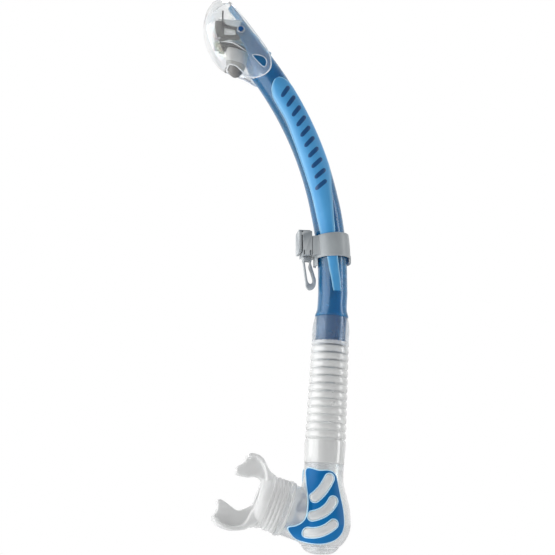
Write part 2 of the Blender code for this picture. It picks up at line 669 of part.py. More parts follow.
def build_carrier():
    """Hinged plate under the seal, with its knuckle and stop lug."""
    plate = [((13.0 + 11.6 * math.cos(a)) * MM, 8.2 * math.sin(a) * MM) for a in circle(28)]
    carrier = add_object("seal_carrier", upright(plate, -1.9 * MM, -0.3 * MM), FLOAT_FRAME, black_rubber())
    arm = scaled([(0, -1.9), (6, -1.9), (6, -0.3), (0, -0.3)])
    join(carrier, add_object("arm", prism(arm, -3 * MM, 3 * MM), FLOAT_FRAME))
    join(carrier, add_object("knuckle", rod_y(1.55 * MM, 0, 0, -3.0 * MM, 3.0 * MM), FLOAT_FRAME))
    lug = scaled([(2.4, -7.2), (6.8, -6.6), (6.8, -1.2), (2.4, -1.2)])
    join(carrier, add_object("lug", prism(lug, -2.4 * MM, 2.4 * MM), FLOAT_FRAME))
    cut(carrier, add_object("bore", rod_y(1.1 * MM, 0, 0, -5 * MM, 5 * MM), FLOAT_FRAME))
    soften(carrier)
    disc = [((13.4 + 10.9 * math.cos(a)) * MM, 8.4 * math.sin(a) * MM) for a in circle(32)]
    soften(add_object("seal_disc", upright(disc, 0.0, 1.1 * MM), FLOAT_FRAME, clear_silicone()))


# ---------------------------------------------------------------- lower tube

def build_flex_tube():
    """One silicone moulding: upper cuff, ribbed stretch, lower cuff."""
    outer = [(13.0, SHOULDER_END + GAP), (13.5, 22 * MM), (14.4, 29 * MM), (14.2, 36 * MM), (13.7, 41 * MM)]
    outer = [(r * MM, z) for r, z in outer]
    for k in range(RIB_COUNT):
        crest = (14.7 + 0.9 * k / (RIB_COUNT - 1)) * MM
        top = CUFF_END + k * RIB_PITCH
        outer.append((crest - RIB_DEPTH, top))
        outer.append((crest, top + RIB_PITCH / 2))
    outer += [(13.9 * MM, LOWER_CUFF_TOP), (15.7 * MM, LOWER_CUFF_TOP + 1.5 * MM), (15.1 * MM, LOWER_CUFF_END)]
    inner = [(SPIGOT_RADIUS + GAP, SHOULDER_END + GAP), (SPIGOT_RADIUS + GAP, SPIGOT_END + 1.5 * MM),
             (12.0 * MM, CUFF_END + 2 * MM), (12.5 * MM, LOWER_CUFF_TOP - 1.5 * MM),
             (12.7 * MM, LOWER_CUFF_TOP), (12.7 * MM, LOWER_CUFF_END)]
    profile = [(r, -z) for r, z in outer + inner[::-1]]
    made = add_object("flex_tube", turned(profile, FLEX_SEGMENTS, loop=True), TUBE_FRAME, clear_silicone())
    return soften(made)


def pear(offset, floor):
    """Outer profile of the chamber below its neck, grown by offset."""
    rows = [(NECK_RADIUS, 131.8 * MM), (NECK_RADIUS, 138 * MM), (15.6 * MM, 146 * MM), (18.5 * MM, 155.5 * MM),
            (20.9 * MM, 163.5 * MM)]
    steps = 5
    for k in range(steps + 1):
        drop = (floor - CHAMBER_CENTRE) * k / steps
        rows.append((CHAMBER_RADIUS * math.sqrt(1 - (drop / CHAMBER_DROP) ** 2), CHAMBER_CENTRE + drop))
    return [(r + offset, -z) for r, z in rows]


def port_bar(name, radius, low, high, finish=None):
    return add_object(name, turned([(radius, low), (radius, high)], CHAMBER_SEGMENTS), PORT_FRAME, finish)


def build_chamber():
    """Clear shell: neck spigot, pear, port spigot; raised pads fill the overlay's slots."""
    neck = [(12.4 * MM, -(LOWER_CUFF_TOP + 1.8 * MM)), (12.4 * MM, -131.8 * MM)]
    shell = add_object("chamber_shell", turned(neck + pear(0.0, CHAMBER_FLOOR), CHAMBER_SEGMENTS), TUBE_FRAME,
                       clear_plastic())
    join(shell, port_bar("port", PORT_RADIUS, 4 * MM, PORT_SHOULDER))
    join(shell, port_bar("spigot", PORT_SPIGOT_RADIUS, 20 * MM, PORT_SPIGOT_END))
    for side in (-1, 1):
        for path in SLOTS:
            join(shell, slot_pad(path, side))
    hollow = [(10.6 * MM, -105 * MM), (10.6 * MM, -131.8 * MM), (12.4 * MM, -136 * MM)]
    hollow += [(r, z) for r, z in pear(-CHAMBER_WALL, CHAMBER_FLOOR + 1.0 * MM)[2:]]
    cut(shell, add_object("hollow", turned(hollow, CHAMBER_SEGMENTS), TUBE_FRAME))
    cut(shell, port_bar("bore", PORT_BORE, 4 * MM, 60 * MM))
    return soften(shell)


# Side outline of the overlay and its three slots, in the row's X and Z.
OVERLAY = [(5.4, -174.8), (13.2, -176.6), (20.0, -176.6), (24.4, -178.6), (26.6, -183.5), (28.4, -195.0),
           (30.5, -210.0), (29.9, -219.0), (26.8, -224.4), (22.0, -227.6), (15.0, -229.4), (7.6, -229.2),
           (0.3, -227.4), (-5.5, -224.4), (-10.3, -218.2), (-4.8, -216.6), (-0.6, -214.4), (2.4, -210.2),
           (3.8, -203.0), (4.6, -194.0), (4.6, -184.0)]
SLOTS = [((9.2, -196.6), (15.4, -190.6), (20.6, -182.4)), ((6.9, -209.8), (16.0, -206.2), (22.4, -199.0)),
         ((3.8, -221.3), (12.8, -220.8), (22.0, -215.6))]
SLOT_RADIUS = 3.6 * MM


def slot_prism(path, radius, side):
    outline = bean(scaled(path), radius, 4)
    return add_object("slot", prism(outline, *sorted((side * 4 * MM, side * 40 * MM))), ROW_FRAME)


def skin_solid(offset):
    """The chamber and its port together, grown by offset."""
    rows = pear(offset, CHAMBER_FLOOR)
    solid = add_object("grown", turned(rows, CHAMBER_SEGMENTS), TUBE_FRAME)
    return join(solid, port_bar("grown_port", PORT_RADIUS + offset, 4 * MM, PORT_SHOULDER - 1.5 * MM))


def slot_pad(path, side):
    """A raised bean that stands in one slot of the overlay."""
    return common(slot_prism(path, SLOT_RADIUS - 0.4 * MM, side), skin_solid(OVERLAY_THICKNESS + 2 * GAP))


def build_overlay(name, side):
    shell = skin_solid(GAP + OVERLAY_THICKNESS)
    cut(shell, skin_solid(GAP))
    area = add_object(name, prism(scaled(OVERLAY), *sorted((side * 7 * MM, side * 40 * MM))), ROW_FRAME,
                      overlay_blue())
    common(area, shell)
    for path in SLOTS:
        cut(area, slot_prism(path, SLOT_RADIUS, side))
    area.data.materials.clear()
    area.data.materials.append(overlay_blue())
    return soften(area)


def build_purge():
    """Seat with spokes, the diaphragm under it, and the slotted cover."""
    top = CHAMBER_FLOOR + GAP
    ring = [(14.0 * MM, -top), (13.6 * MM, -(top + 1.3 * MM)), (7.0 * MM, -(top + 1.3 * MM)), (7.0 * MM, -top)]
    seat = add_object("purge_seat", turned(ring, 32, loop=True), TUBE_FRAME, clear_plastic())
    for k in range(2):
        bar = upright([(-7.6 * MM, -0.7 * MM), (7.6 * MM, -0.7 * MM), (7.6 * MM, 0.7 * MM), (-7.6 * MM, 0.7 * MM)],
                      -(top + 1.25 * MM), -(top + 0.05 * MM))
        frame = TUBE_FRAME @ Matrix.Rotation(math.radians(90 * k), 4, "Z")
        join(seat, add_object("spoke", bar, frame))
    join(seat, add_object("hub", turned([(2.4 * MM, -(top + 1.25 * MM)), (2.4 * MM, -(top + 0.05 * MM))], 16),
                          TUBE_FRAME))
    cut(seat, add_object("hub_hole", turned([(1.2 * MM, -(top + 3 * MM)), (1.2 * MM, -(top - 3 * MM))], 16),
                         TUBE_FRAME))
    soften(seat)
    face = top + 1.3 * MM + GAP
    valve = [(0.9 * MM, -(top - 1.6 * MM)), (0.9 * MM, -face), (8.0 * MM, -face), (8.0 * MM, -(face + 0.6 * MM))]
    soften(add_object("purge_diaphragm", turned(valve, 32), TUBE_FRAME, clear_silicone()))
    start = top + 1.3 * MM + GAP
    cover = [(8.8, start), (13.3, start), (11.9, 194.6 * MM), (10.2, 195.8 * MM), (7.0, 197.0 * MM),
             (1.6, 197.6 * MM), (1.6, 196.4 * MM), (6.6, 195.9 * MM), (8.8, 194.9 * MM)]
    cap = add_object("purge_cover", turned([(r * MM, -z) for r, z in cover], 32, loop=True), TUBE_FRAME,
                     clear_plastic())
    for k in range(3):
        slit = upright([(3.2 * MM, -0.8 * MM), (8.2 * MM, -0.8 * MM), (8.2 * MM, 0.8 * MM), (3.2 * MM, 0.8 * MM)],
                       -199 * MM, -195.2 * MM)
        cut(cap, add_object("slit", slit, TUBE_FRAME @ Matrix.Rotation(math.radians(120 * k + 60), 4, "Z")))
    soften(cap)


# ---------------------------------------------------------------- mouthpiece

# The mouthpiece seen square to its arch: up from the port's axis, then out along it.
ARCH = [(21.6, 49.6), (25.9, 53.9), (29.0, 59.2), (29.4, 65.0), (27.4, 69.0), (24.0, 69.2), (21.5, 69.1),
        (19.3, 70.7), (17.0, 73.0), (14.4, 73.5), (11.4, 72.0), (11.2, 68.6), (12.3, 62.5), (14.6, 56.6),
        (12.6, 51.0), (10.5, 48.0), (5.5, 47.3), (0.4, 48.8), (-4.5, 51.8), (-9.9, 57.0), (-13.4, 62.0),
        (-12.6, 66.6), (-10.9, 72.2), (-10.0, 77.0), (-12.0, 78.8), (-16.0, 77.2), (-20.4, 76.8), (-23.4, 78.2),
        (-25.4, 77.2), (-27.9, 73.6), (-29.0, 68.0), (-28.6, 62.0), (-26.8, 56.6), (-24.2, 52.0), (-21.4, 49.6),
        (-19.7, 46.6), (-19.6, NECK_END / MM + GAP / MM), (20.4, NECK_END / MM + GAP / MM), (20.7, 48.0)]
# The lip shield is the arch's outer skin, taller than the rest.
SHIELD = [(21.6, 49.6), (25.9, 53.9), (29.0, 59.2), (29.4, 65.0), (27.4, 69.0), (25.0, 67.6), (26.6, 64.6),
          (26.2, 60.0), (23.4, 55.6), (18.0, 51.6), (10.0, 49.2), (0.0, 49.6), (-9.6, 52.4), (-17.6, 53.6),
          (-22.4, 56.0), (-25.4, 61.4), (-26.2, 67.6), (-25.4, 72.6), (-23.6, 75.4), (-25.4, 77.2),
          (-27.9, 73.6), (-29.0, 68.0), (-28.6, 62.0), (-26.8, 56.6), (-24.2, 52.0), (-21.4, 49.6),
          (-19.7, 46.6), (0.4, 45.2), (20.4, 46.0), (20.7, 48.0)]


def build_mouthpiece():
    """Ribbed neck on the port, then the flange with its bite tabs."""
    start = PORT_SHOULDER + GAP
    outer = [(20.3 * MM, start), (20.3 * MM, start + 1.6 * MM), (19.6 * MM, start + 1.7 * MM),
             (19.6 * MM, start + 4.9 * MM), (20.3 * MM, start + 5.0 * MM)]
    ribs = 3
    pitch = (NECK_END - 34.6 * MM) / ribs
    for k in range(ribs):
        outer.append((19.4 * MM, 34.6 * MM + k * pitch))
        outer.append((20.3 * MM, 34.6 * MM + (k + 0.5) * pitch))
    outer.append((19.9 * MM, NECK_END))
    inner = [(17.2 * MM, NECK_END), (PORT_SPIGOT_RADIUS + GAP, PORT_SPIGOT_END + MM),
             (PORT_SPIGOT_RADIUS + GAP, start)]
    soften(add_object("mouthpiece_neck", turned(outer + inner, 32, loop=True), PORT_FRAME, clear_silicone()))
    tie = [(19.9 * MM, start + 2.0 * MM), (21.0 * MM, start + 2.0 * MM), (21.0 * MM, start + 4.6 * MM),
           (19.9 * MM, start + 4.6 * MM)]
    soften(add_object("mouthpiece_tie", turned(tie, 32, loop=True), PORT_FRAME, clear_plastic()))
    flange = add_object("mouthpiece_flange", prism(scaled(ARCH), -7 * MM, 7 * MM), PORT_FRAME, clear_silicone())
    join(flange, add_object("shield", prism(scaled(SHIELD), -12.5 * MM, 12.5 * MM), PORT_FRAME))
    root = turned([(19.9 * MM, NECK_END + GAP), (19.4 * MM, 47.6 * MM), (17.0 * MM, 50.6 * MM)], 32)
    join(flange, add_object("root", root, PORT_FRAME))
    # The shield narrows to the neck, so that nothing stands out behind it.
    limit = scaled([(20.6, 40.0), (20.6, 45.0), (24.0, 50.5), (28.0, 55.0), (34.0, 60.0), (46.0, 70.0), (46.0, 90.0)])
    common(flange, add_object("limit", turned(limit, 32), PORT_FRAME))
    passage = skin([oval(a * MM, b * MM, z * MM, 32) for a, b, z in ((17.2, 17.2, 40), (15.5, 13.0, 46),
                                                                     (9.5, 5.4, 50), (9.0, 5.2, 60))])
    cut(flange, add_object("passage", passage, PORT_FRAME))
    soften(flange)


def main():
    clear_scene()
    build_barrel()
    build_keeper()
    build_hook()
    build_shroud()
    build_duct()
    build_bracket()
    build_float()
    build_flex_tube()
    build_chamber()
    build_overlay("overlay_near", -1)
    build_overlay("overlay_far", 1)
    build_purge()
    build_mouthpiece()


main()
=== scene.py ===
import json
import math

import bmesh
import bpy
from mathutils import Matrix, Vector
from mathutils.bvhtree import BVHTree

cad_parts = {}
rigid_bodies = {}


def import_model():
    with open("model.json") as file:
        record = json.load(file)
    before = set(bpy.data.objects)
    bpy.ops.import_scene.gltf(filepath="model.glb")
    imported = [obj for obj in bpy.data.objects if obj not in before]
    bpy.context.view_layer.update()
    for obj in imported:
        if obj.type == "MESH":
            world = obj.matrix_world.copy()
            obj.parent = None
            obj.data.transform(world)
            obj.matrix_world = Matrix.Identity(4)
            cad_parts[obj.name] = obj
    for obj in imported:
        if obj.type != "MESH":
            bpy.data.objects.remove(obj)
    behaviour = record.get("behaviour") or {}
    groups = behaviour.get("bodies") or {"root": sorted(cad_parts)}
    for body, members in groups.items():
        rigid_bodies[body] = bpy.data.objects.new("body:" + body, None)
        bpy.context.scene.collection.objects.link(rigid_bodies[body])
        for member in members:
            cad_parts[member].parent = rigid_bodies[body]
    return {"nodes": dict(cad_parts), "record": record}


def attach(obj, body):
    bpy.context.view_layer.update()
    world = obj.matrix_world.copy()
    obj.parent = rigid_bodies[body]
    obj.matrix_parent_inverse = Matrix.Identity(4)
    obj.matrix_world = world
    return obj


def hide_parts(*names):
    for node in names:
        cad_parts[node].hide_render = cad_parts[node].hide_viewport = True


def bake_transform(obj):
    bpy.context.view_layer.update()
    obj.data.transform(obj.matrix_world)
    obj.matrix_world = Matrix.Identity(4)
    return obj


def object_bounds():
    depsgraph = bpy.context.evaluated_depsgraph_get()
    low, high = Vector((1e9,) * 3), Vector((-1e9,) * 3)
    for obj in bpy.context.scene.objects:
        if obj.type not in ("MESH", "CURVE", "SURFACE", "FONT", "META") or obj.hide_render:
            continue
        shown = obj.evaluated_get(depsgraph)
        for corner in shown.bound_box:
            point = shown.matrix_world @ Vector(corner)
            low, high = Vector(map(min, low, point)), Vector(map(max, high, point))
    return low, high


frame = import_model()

CAD_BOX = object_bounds()
MM = 0.001
PIVOTS = {j["name"]: Vector(j["pos_m"]) for j in frame["record"]["behaviour"]["joints"] if j.get("pos_m")}


def turn_y(angle):
    return Matrix.Rotation(angle, 4, "Y")


def arc_frame(angle):
    """The frame at an angle up the barrel's arc, with Z along the barrel."""
    spot = ARC_CENTRE + ARC_RADIUS * Vector((math.cos(angle), 0, math.sin(angle)))
    return Matrix.Translation(spot) @ turn_y(-angle)


# -------- the model's own frames
# The barrel is an arc above its straight foot. The knee is where the lower tube starts to lean.
IDENTITY = Matrix.Identity(4)
ARC_CENTRE = PIVOTS["keeper_slide"]
ARC_MM = 280
ARC_RADIUS = ARC_MM * MM
ARC_DEGREES = 37.5
ARC_ANGLE = math.radians(ARC_DEGREES)
BARREL_X = ARC_CENTRE.x + ARC_RADIUS
KNEE = Vector((BARREL_X, 0, -40 * MM))
TUBE_LEAN = math.radians(3.5)
TUBE = Matrix.Translation(KNEE) @ turn_y(TUBE_LEAN)
PORT = Matrix.Translation(PIVOTS["mouthpiece_turn"]) @ turn_y(math.radians(19.5 - 90))
HEAD = arc_frame(ARC_ANGLE)
FLOAT = Matrix.Translation(PIVOTS["float_hinge"]) @ turn_y(math.radians(15.5))
PEG = Matrix.Translation(PIVOTS["hook_swivel"])
BRACKET_PIN = (-47.5, 170.2)
SIDES = ((-1, "near"), (1, "far"))

# The barrel's section in millimetres: half widths at its head and at its foot, half depth, and the bore's.
HALF_WIDTH = 12.5
LOW_HALF = 11.3
HALF_DEPTH = 13.8
WALL = 1.9
BORE_WIDTH = 10.6
BORE_DEPTH = 11.9


# -------- mesh tools
def add(name, bm, at=IDENTITY):
    """A new object in the scene, made from the mesh, which is freed."""
    bmesh.ops.recalc_face_normals(bm, faces=bm.faces)
    mesh = bpy.data.meshes.new(name)
    bm.to_mesh(mesh)
    bm.free()
    made = bpy.data.objects.new(name, mesh)
    bpy.context.scene.collection.objects.link(made)
    made.matrix_world = at
    return made


def bridge(bm, low, high):
    """A band of faces between two rings of vertices."""
    for i in range(len(low)):
        j = (i + 1) % len(low)
        bm.faces.new((low[i], low[j], high[j], high[i]))


def skin(rings, loop=False):
    """Faces between rings of points in millimetres; with loop the last ring meets the first."""
    bm = bmesh.new()
    rows = [[bm.verts.new(Vector(p) * MM) for p in ring] for ring in rings]
    for low, high in zip(rows, rows[1:]):
        bridge(bm, low, high)
    if loop:
        bridge(bm, rows[-1], rows[0])
    else:
        bm.faces.new(rows[0])
        bm.faces.new(rows[-1])
    return bm


def turns(count):
    """Equal steps round a circle."""
    return [math.tau * k / count for k in range(count)]


def oval(half_x, half_y, z, count, power=2.0, shift=0.0):
    """A ring of points in millimetres; a power over 2 squares it off, and shift moves it along X."""
    ring = []
    for a in turns(count):
        c = math.cos(a)
        s = math.sin(a)
        ring.append((math.copysign(abs(c) ** (2 / power), c) * half_x + shift,
                     math.copysign(abs(s) ** (2 / power), s) * half_y, z))
    return ring


def turned(profile, count=96, loop=False):
    """A body turned about Z from rows of radius and height."""
    return skin([oval(r, r, z, count) for r, z in profile], loop)


def prism(outline, low, high):
    """An outline in X and Z, drawn out along Y."""
    return skin([[(x, y, z) for x, z in outline] for y in (low, high)])


def upright(outline, low, high):
    """An outline in X and Y, drawn out along Z."""
    return skin([[(x, y, z) for x, y in outline] for z in (low, high)])


def rod_y(radius, x, z, low, high):
    """A round bar along Y."""
    ring = [(x + radius * math.cos(a), z + radius * math.sin(a)) for a in turns(32)]
    return prism(ring, low, high)


def curve(points, steps, closed=True):
    """Catmull-Rom curve through points of any size."""
    pts = [Vector(p) for p in points]
    n = len(pts)
    out = []
    for i in range(n if closed else n - 1):
        if closed:
            p0, p1, p2, p3 = (pts[(i + k - 1) % n] for k in range(4))
        else:
            p0, p1, p2, p3 = (pts[min(max(i + k - 1, 0), n - 1)] for k in range(4))
        for k in range(steps):
            t = k / steps
            out.append(0.5 * (2 * p1 + (p2 - p0) * t + (2 * p0 - 5 * p1 + 4 * p2 - p3) * t * t
                              + (3 * p1 - p0 - 3 * p2 + p3) * t ** 3))
    if not closed:
        out.append(pts[-1])
    return out


def swept(path, radius, sides, closed=False):
    """A round bar along a path in millimetres; radius may depend on the share of the path."""
    pts = [Vector(p) for p in path]
    n = len(pts)
    rings = []
    side = None
    for i, p in enumerate(pts):
        before = pts[(i - 1) % n] if closed else pts[max(i - 1, 0)]
        after = pts[(i + 1) % n] if closed else pts[min(i + 1, n - 1)]
        way = (after - before).normalized()
        if side is None:
            side = way.orthogonal().normalized()
        else:
            side = (side - way * side.dot(way)).normalized()
        other = way.cross(side)
        r = radius(i / (n - 1)) if callable(radius) else radius
        rings.append([p + side * (r * math.cos(a)) + other * (r * math.sin(a)) for a in turns(sides)])
    return close_rings(rings) if closed else skin(rings)


def close_rings(rings):
    """Join the last ring to the first where they match best."""
    count = len(rings[0])
    best = min(range(count), key=lambda s: sum((rings[-1][(k + s) % count] - rings[0][k]).length
                                               for k in range(count)))
    bm = bmesh.new()
    rows = [[bm.verts.new(p * MM) for p in ring] for ring in rings]
    for low, high in zip(rows, rows[1:]):
        bridge(bm, low, high)
    bridge(bm, [rows[-1][(k + best) % count] for k in range(count)], rows[0])
    return bm


def combine(solid, tool, operation):
    """One boolean step, after which the tool is gone."""
    bpy.context.view_layer.update()
    step = solid.modifiers.new("shape", "BOOLEAN")
    step.operation = operation
    step.solver = "EXACT"
    step.object = tool
    apply_all(solid)
    bpy.data.objects.remove(tool, do_unlink=True)
    return solid


def apply_all(solid):
    """Make the modifiers' result the mesh."""
    graph = bpy.context.evaluated_depsgraph_get()
    result = bpy.data.meshes.new_from_object(solid.evaluated_get(graph))
    solid.modifiers.clear()
    solid.data = result
    return solid


def cut(solid, *tools):
    for tool in tools:
        combine(solid, tool, "DIFFERENCE")
    return solid


def join(solid, *tools):
    for tool in tools:
        combine(solid, tool, "UNION")
    return solid


def common(solid, *tools):
    for tool in tools:
        combine(solid, tool, "INTERSECT")
    return solid


def round_edges(solid, width, segments, angle):
    """Roll the sharp edges over, as a moulding has them."""
    clean = solid.modifiers.new("weld", "WELD")
    clean.merge_threshold = 0.00001
    step = solid.modifiers.new("edges", "BEVEL")
    step.width = width * MM
    step.segments = segments
    step.limit_method = "ANGLE"
    step.angle_limit = math.radians(angle)
    bpy.context.view_layer.update()
    return apply_all(solid)


def soft_block(solid, voxel, rounds):
    """Remesh evenly and relax, which melts pieces of rubber into each other."""
    step = solid.modifiers.new("even", "REMESH")
    step.mode = "VOXEL"
    step.voxel_size = voxel * MM
    relax = solid.modifiers.new("relax", "SMOOTH")
    relax.factor = 0.5
    relax.iterations = rounds
    bpy.context.view_layer.update()
    return apply_all(solid)


def gathered(name, items):
    """Several objects as one mesh of loose parts."""
    first = items[0]
    bm = bmesh.new()
    bm.from_mesh(first.data)
    for item in items[1:]:
        item.data.transform(first.matrix_world.inverted() @ item.matrix_world)
        bm.from_mesh(item.data)
        bpy.data.objects.remove(item, do_unlink=True)
    bm.to_mesh(first.data)
    bm.free()
    first.name = name
    return first


def finish(solid, body, mat, slot, *nodes, angle=38):
    """Shade and paint a piece, and fasten it to its body if it has one."""
    bpy.context.view_layer.update()
    solid.data.transform(solid.matrix_world)
    solid.matrix_world = IDENTITY
    solid.data.shade_smooth()
    solid.data.set_sharp_from_angle(angle=math.radians(angle))
    solid.data.materials.clear()
    solid.data.materials.append(mat)
    for face in solid.data.polygons:
        face.material_index = 0
    if body:
        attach(solid, body)
    if nodes:
        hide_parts(*nodes)
    return solid


# -------- materials
def linear(r, g, b):
    """A colour of the screen, 0 to 255, as the linear colour that a shader takes."""
    def channel(v):
        return ((v / 255 + 0.055) / 1.055) ** 2.4 if v > 10 else v / 255 / 12.92
    return (channel(r), channel(g), channel(b))


def plastic(name, colour, rough, *, shade, patch=60.0, grain=900.0, bump=0.02, spread=0.06, clear=0.0,
            ior=1.46, coat=0.0, wear=None, soft=0.0, specular=0.5, edge=None, passes=None, film=None):
    """A moulded material: mottled colour, uneven gloss, fine grain.

    shade is the colour of the mottles, wear that of worn edges, edge the painted light marked in the mesh (a
    painted highlight on the inlay's margins, painted shade in the silicone's grooves), passes the tint of the
    light that is let through, and film the range of the stress colours."""
    mat = bpy.data.materials.new(name)
    mat.use_nodes = True
    nodes = mat.node_tree.nodes
    links = mat.node_tree.links
    shader = nodes["Principled BSDF"]
    for key, value in (("IOR", ior), ("Transmission Weight", clear), ("Coat Weight", coat),
                       ("Coat Roughness", 0.06), ("Subsurface Weight", soft), ("Subsurface Scale", 0.004),
                       ("Subsurface Radius", (1.0, 1.0, 1.0)), ("Specular IOR Level", specular)):
        shader.inputs[key].default_value = value
    where = nodes.new("ShaderNodeTexCoord")

    def noise(scale, detail):
        made = nodes.new("ShaderNodeTexNoise")
        made.inputs["Scale"].default_value = scale
        made.inputs["Detail"].default_value = detail
        links.new(where.outputs["Object"], made.inputs["Vector"])
        return made.outputs["Fac"]

    def mapped(value, low, high, to_low=0.0, to_high=1.0):
        made = nodes.new("ShaderNodeMapRange")
        for key, number in (("From Min", low), ("From Max", high), ("To Min", to_low), ("To Max", to_high)):
            made.inputs[key].default_value = number
        links.new(value, made.inputs["Value"])
        return made.outputs["Result"]

    def mixed(share, first, second):
        made = nodes.new("ShaderNodeMix")
        made.data_type = "RGBA"
        links.new(share, made.inputs[0])
        if isinstance(first, tuple):
            made.inputs[6].default_value = (*first, 1.0)
        else:
            links.new(first, made.inputs[6])
        made.inputs[7].default_value = (*second, 1.0)
        return made.outputs[2]

    top = mixed(mapped(noise(patch, 4.0), 0.35, 0.68), colour, shade)
    # Painted light: the edge colour is mixed in where the mesh marks it, as a highlight on the inlay and as
    # shade in the silicone's grooves.
    if edge:
        painted_light_mask = nodes.new("ShaderNodeAttribute")
        painted_light_mask.attribute_name = "painted_light_mask"
        top = mixed(painted_light_mask.outputs["Fac"], top, edge)
    if wear:
        sharp = nodes.new("ShaderNodeNewGeometry")
        top = mixed(mapped(sharp.outputs["Pointiness"], 0.53, 0.62), top, wear)
    links.new(top, shader.inputs["Base Color"])
    links.new(mapped(noise(patch * 2.7, 6.0), 0.0, 1.0, max(rough - spread, 0.02), rough + spread),
              shader.inputs["Roughness"])
    if film:
        links.new(mapped(noise(patch * 1.6, 2.0), 0.3, 0.7, *film), shader.inputs["Thin Film Thickness"])
    dents = nodes.new("ShaderNodeBump")
    dents.inputs["Strength"].default_value = bump
    dents.inputs["Distance"].default_value = 0.0004
    links.new(noise(grain, 3.0), dents.inputs["Height"])
    links.new(dents.outputs["Normal"], shader.inputs["Normal"])
    if passes:
        through = nodes.new("ShaderNodeBsdfTransparent")
        through.inputs["Color"].default_value = (*passes, 1.0)
        path = nodes.new("ShaderNodeLightPath")
        either = nodes.new("ShaderNodeMixShader")
        links.new(path.outputs["Is Shadow Ray"], either.inputs[0])
        links.new(shader.outputs[0], either.inputs[1])
        links.new(through.outputs[0], either.inputs[2])
        links.new(either.outputs[0], nodes["Material Output"].inputs["Surface"])
    return mat


WHITE = (0.95, 0.96, 0.965)
BLUE = plastic("tinted_blue", (0.018, 0.25, 0.46), 0.26, shade=(0.015, 0.225, 0.42), clear=0.82, bump=0.01,
               spread=0.04, coat=0.2, specular=0.3, passes=(0.3, 0.66, 0.86))
# The inlay's edge colour is a painted highlight along its margins.
INLAY_MAT = plastic("inlay_blue", linear(76, 150, 202), 0.4, shade=linear(66, 142, 197), grain=1500,
                    bump=0.12, specular=0.3, edge=linear(136, 192, 226))
BAR = plastic("inlay_marks", linear(8, 74, 126), 0.35, shade=linear(4, 62, 112), grain=1500, bump=0.1)
GREY = plastic("keeper_grey", linear(156, 162, 165), 0.36, shade=linear(144, 150, 154), grain=1300, bump=0.1,
               wear=linear(190, 194, 197))
CLIP_GREY = plastic("clip_grey", linear(146, 152, 157), 0.4, shade=linear(134, 141, 146), grain=1300,
                    bump=0.12, wear=linear(176, 181, 184))
CLEAR = plastic("clear_shell", (0.86, 0.87, 0.875), 0.2, shade=(0.81, 0.82, 0.83), clear=0.84, ior=1.38,
                coat=0.6, grain=260, spread=0.03, passes=WHITE, film=(260, 560))
SHROUD_MAT = plastic("clear_shroud", (0.95, 0.955, 0.955), 0.07, shade=(0.90, 0.905, 0.91), clear=0.93,
                     ior=1.42, coat=0.5, grain=220, spread=0.03, passes=WHITE, film=(300, 480))
CUFF_MAT = plastic("clear_cuff", (0.66, 0.69, 0.72), 0.1, shade=(0.60, 0.63, 0.66), clear=0.95, ior=1.2,
                   coat=0.2, bump=0.04, grain=300, spread=0.03, passes=WHITE)
# The silicone's edge colour is painted shade, laid into the upper grooves.
SILICONE = plastic("frosted_silicone", (0.70, 0.705, 0.70), 0.3, shade=(0.66, 0.665, 0.665), clear=0.35,
                   ior=1.38, bump=0.06, grain=700, coat=1.0, soft=0.5, edge=linear(66, 70, 74),
                   passes=(0.8, 0.8, 0.8))
MOUTH = plastic("mouth_silicone", (0.70, 0.705, 0.705), 0.5, shade=(0.655, 0.66, 0.66), clear=0.3, ior=1.3,
                bump=0.06, grain=700, coat=0.1, soft=0.6, specular=0.3, passes=(0.75, 0.75, 0.75))
GRIP = plastic("grip_domes", (0.93, 0.94, 0.94), 0.12, shade=(0.89, 0.90, 0.905), clear=0.6, ior=1.4,
               bump=0.03, coat=0.8, grain=260, spread=0.04, passes=WHITE, film=(220, 640))
DUCT = plastic("duct_silicone", (0.93, 0.92, 0.90), 0.25, shade=(0.89, 0.88, 0.85), clear=0.75, ior=1.36,
               bump=0.05, grain=700, passes=(0.9, 0.9, 0.88))
DARK = plastic("bracket_grey", linear(72, 70, 68), 0.4, shade=linear(58, 57, 55), grain=1300, bump=0.1,
               wear=linear(128, 128, 127))
BLACK = plastic("black_parts", linear(28, 27, 26), 0.35, shade=linear(18, 18, 18), grain=1300, bump=0.08)
FLOAT_LIGHT = plastic("float_light", linear(172, 171, 169), 0.4, shade=linear(160, 159, 157), grain=1300,
                      bump=0.1)
FLOAT_DARK = plastic("float_dark", linear(124, 123, 121), 0.42, shade=linear(108, 107, 106), grain=1300,
                     bump=0.1)
SEAL = plastic("seal_rubber", linear(62, 61, 60), 0.55, shade=linear(52, 52, 52), grain=1200, bump=0.15)
OVERLAY = plastic("overlay_blue", linear(0, 108, 172), 0.38, shade=linear(0, 96, 158), grain=1800, bump=0.18,
                  specular=0.2, patch=34)
BORDER = plastic("border_blue", linear(190, 226, 243), 0.25, shade=linear(176, 218, 240), coat=0.3, bump=0.03)
STEEL = plastic("steel", (0.62, 0.62, 0.63), 0.25, shade=(0.55, 0.55, 0.56), bump=0.05)
# The edge line's pale blue is its own colour together with a painted highlight.
EDGE_BLUE = plastic("inlay_edge", linear(150, 204, 232), 0.25, shade=linear(138, 196, 228), coat=0.3,
                    bump=0.03)
# Whiter and less clear than the shroud's shell: the rim beads, window rims, ridges and pin rings drawn in it
# carry a painted highlight as white lines.
RIM_CLEAR = plastic("rim_clear", (0.93, 0.935, 0.94), 0.12, shade=(0.90, 0.905, 0.91), clear=0.6, bump=0.01,
                    spread=0.02, passes=WHITE)
PIN_BLUE = plastic("pin_blue", linear(6, 76, 136), 0.2, shade=linear(4, 66, 124), bump=0.03)


# -------- barrel
TAPER_END = 10.227
LEAN = 0.8
LEAN_END = 12.0
ARC_STEPS = 44
KNEE_STEPS = 6


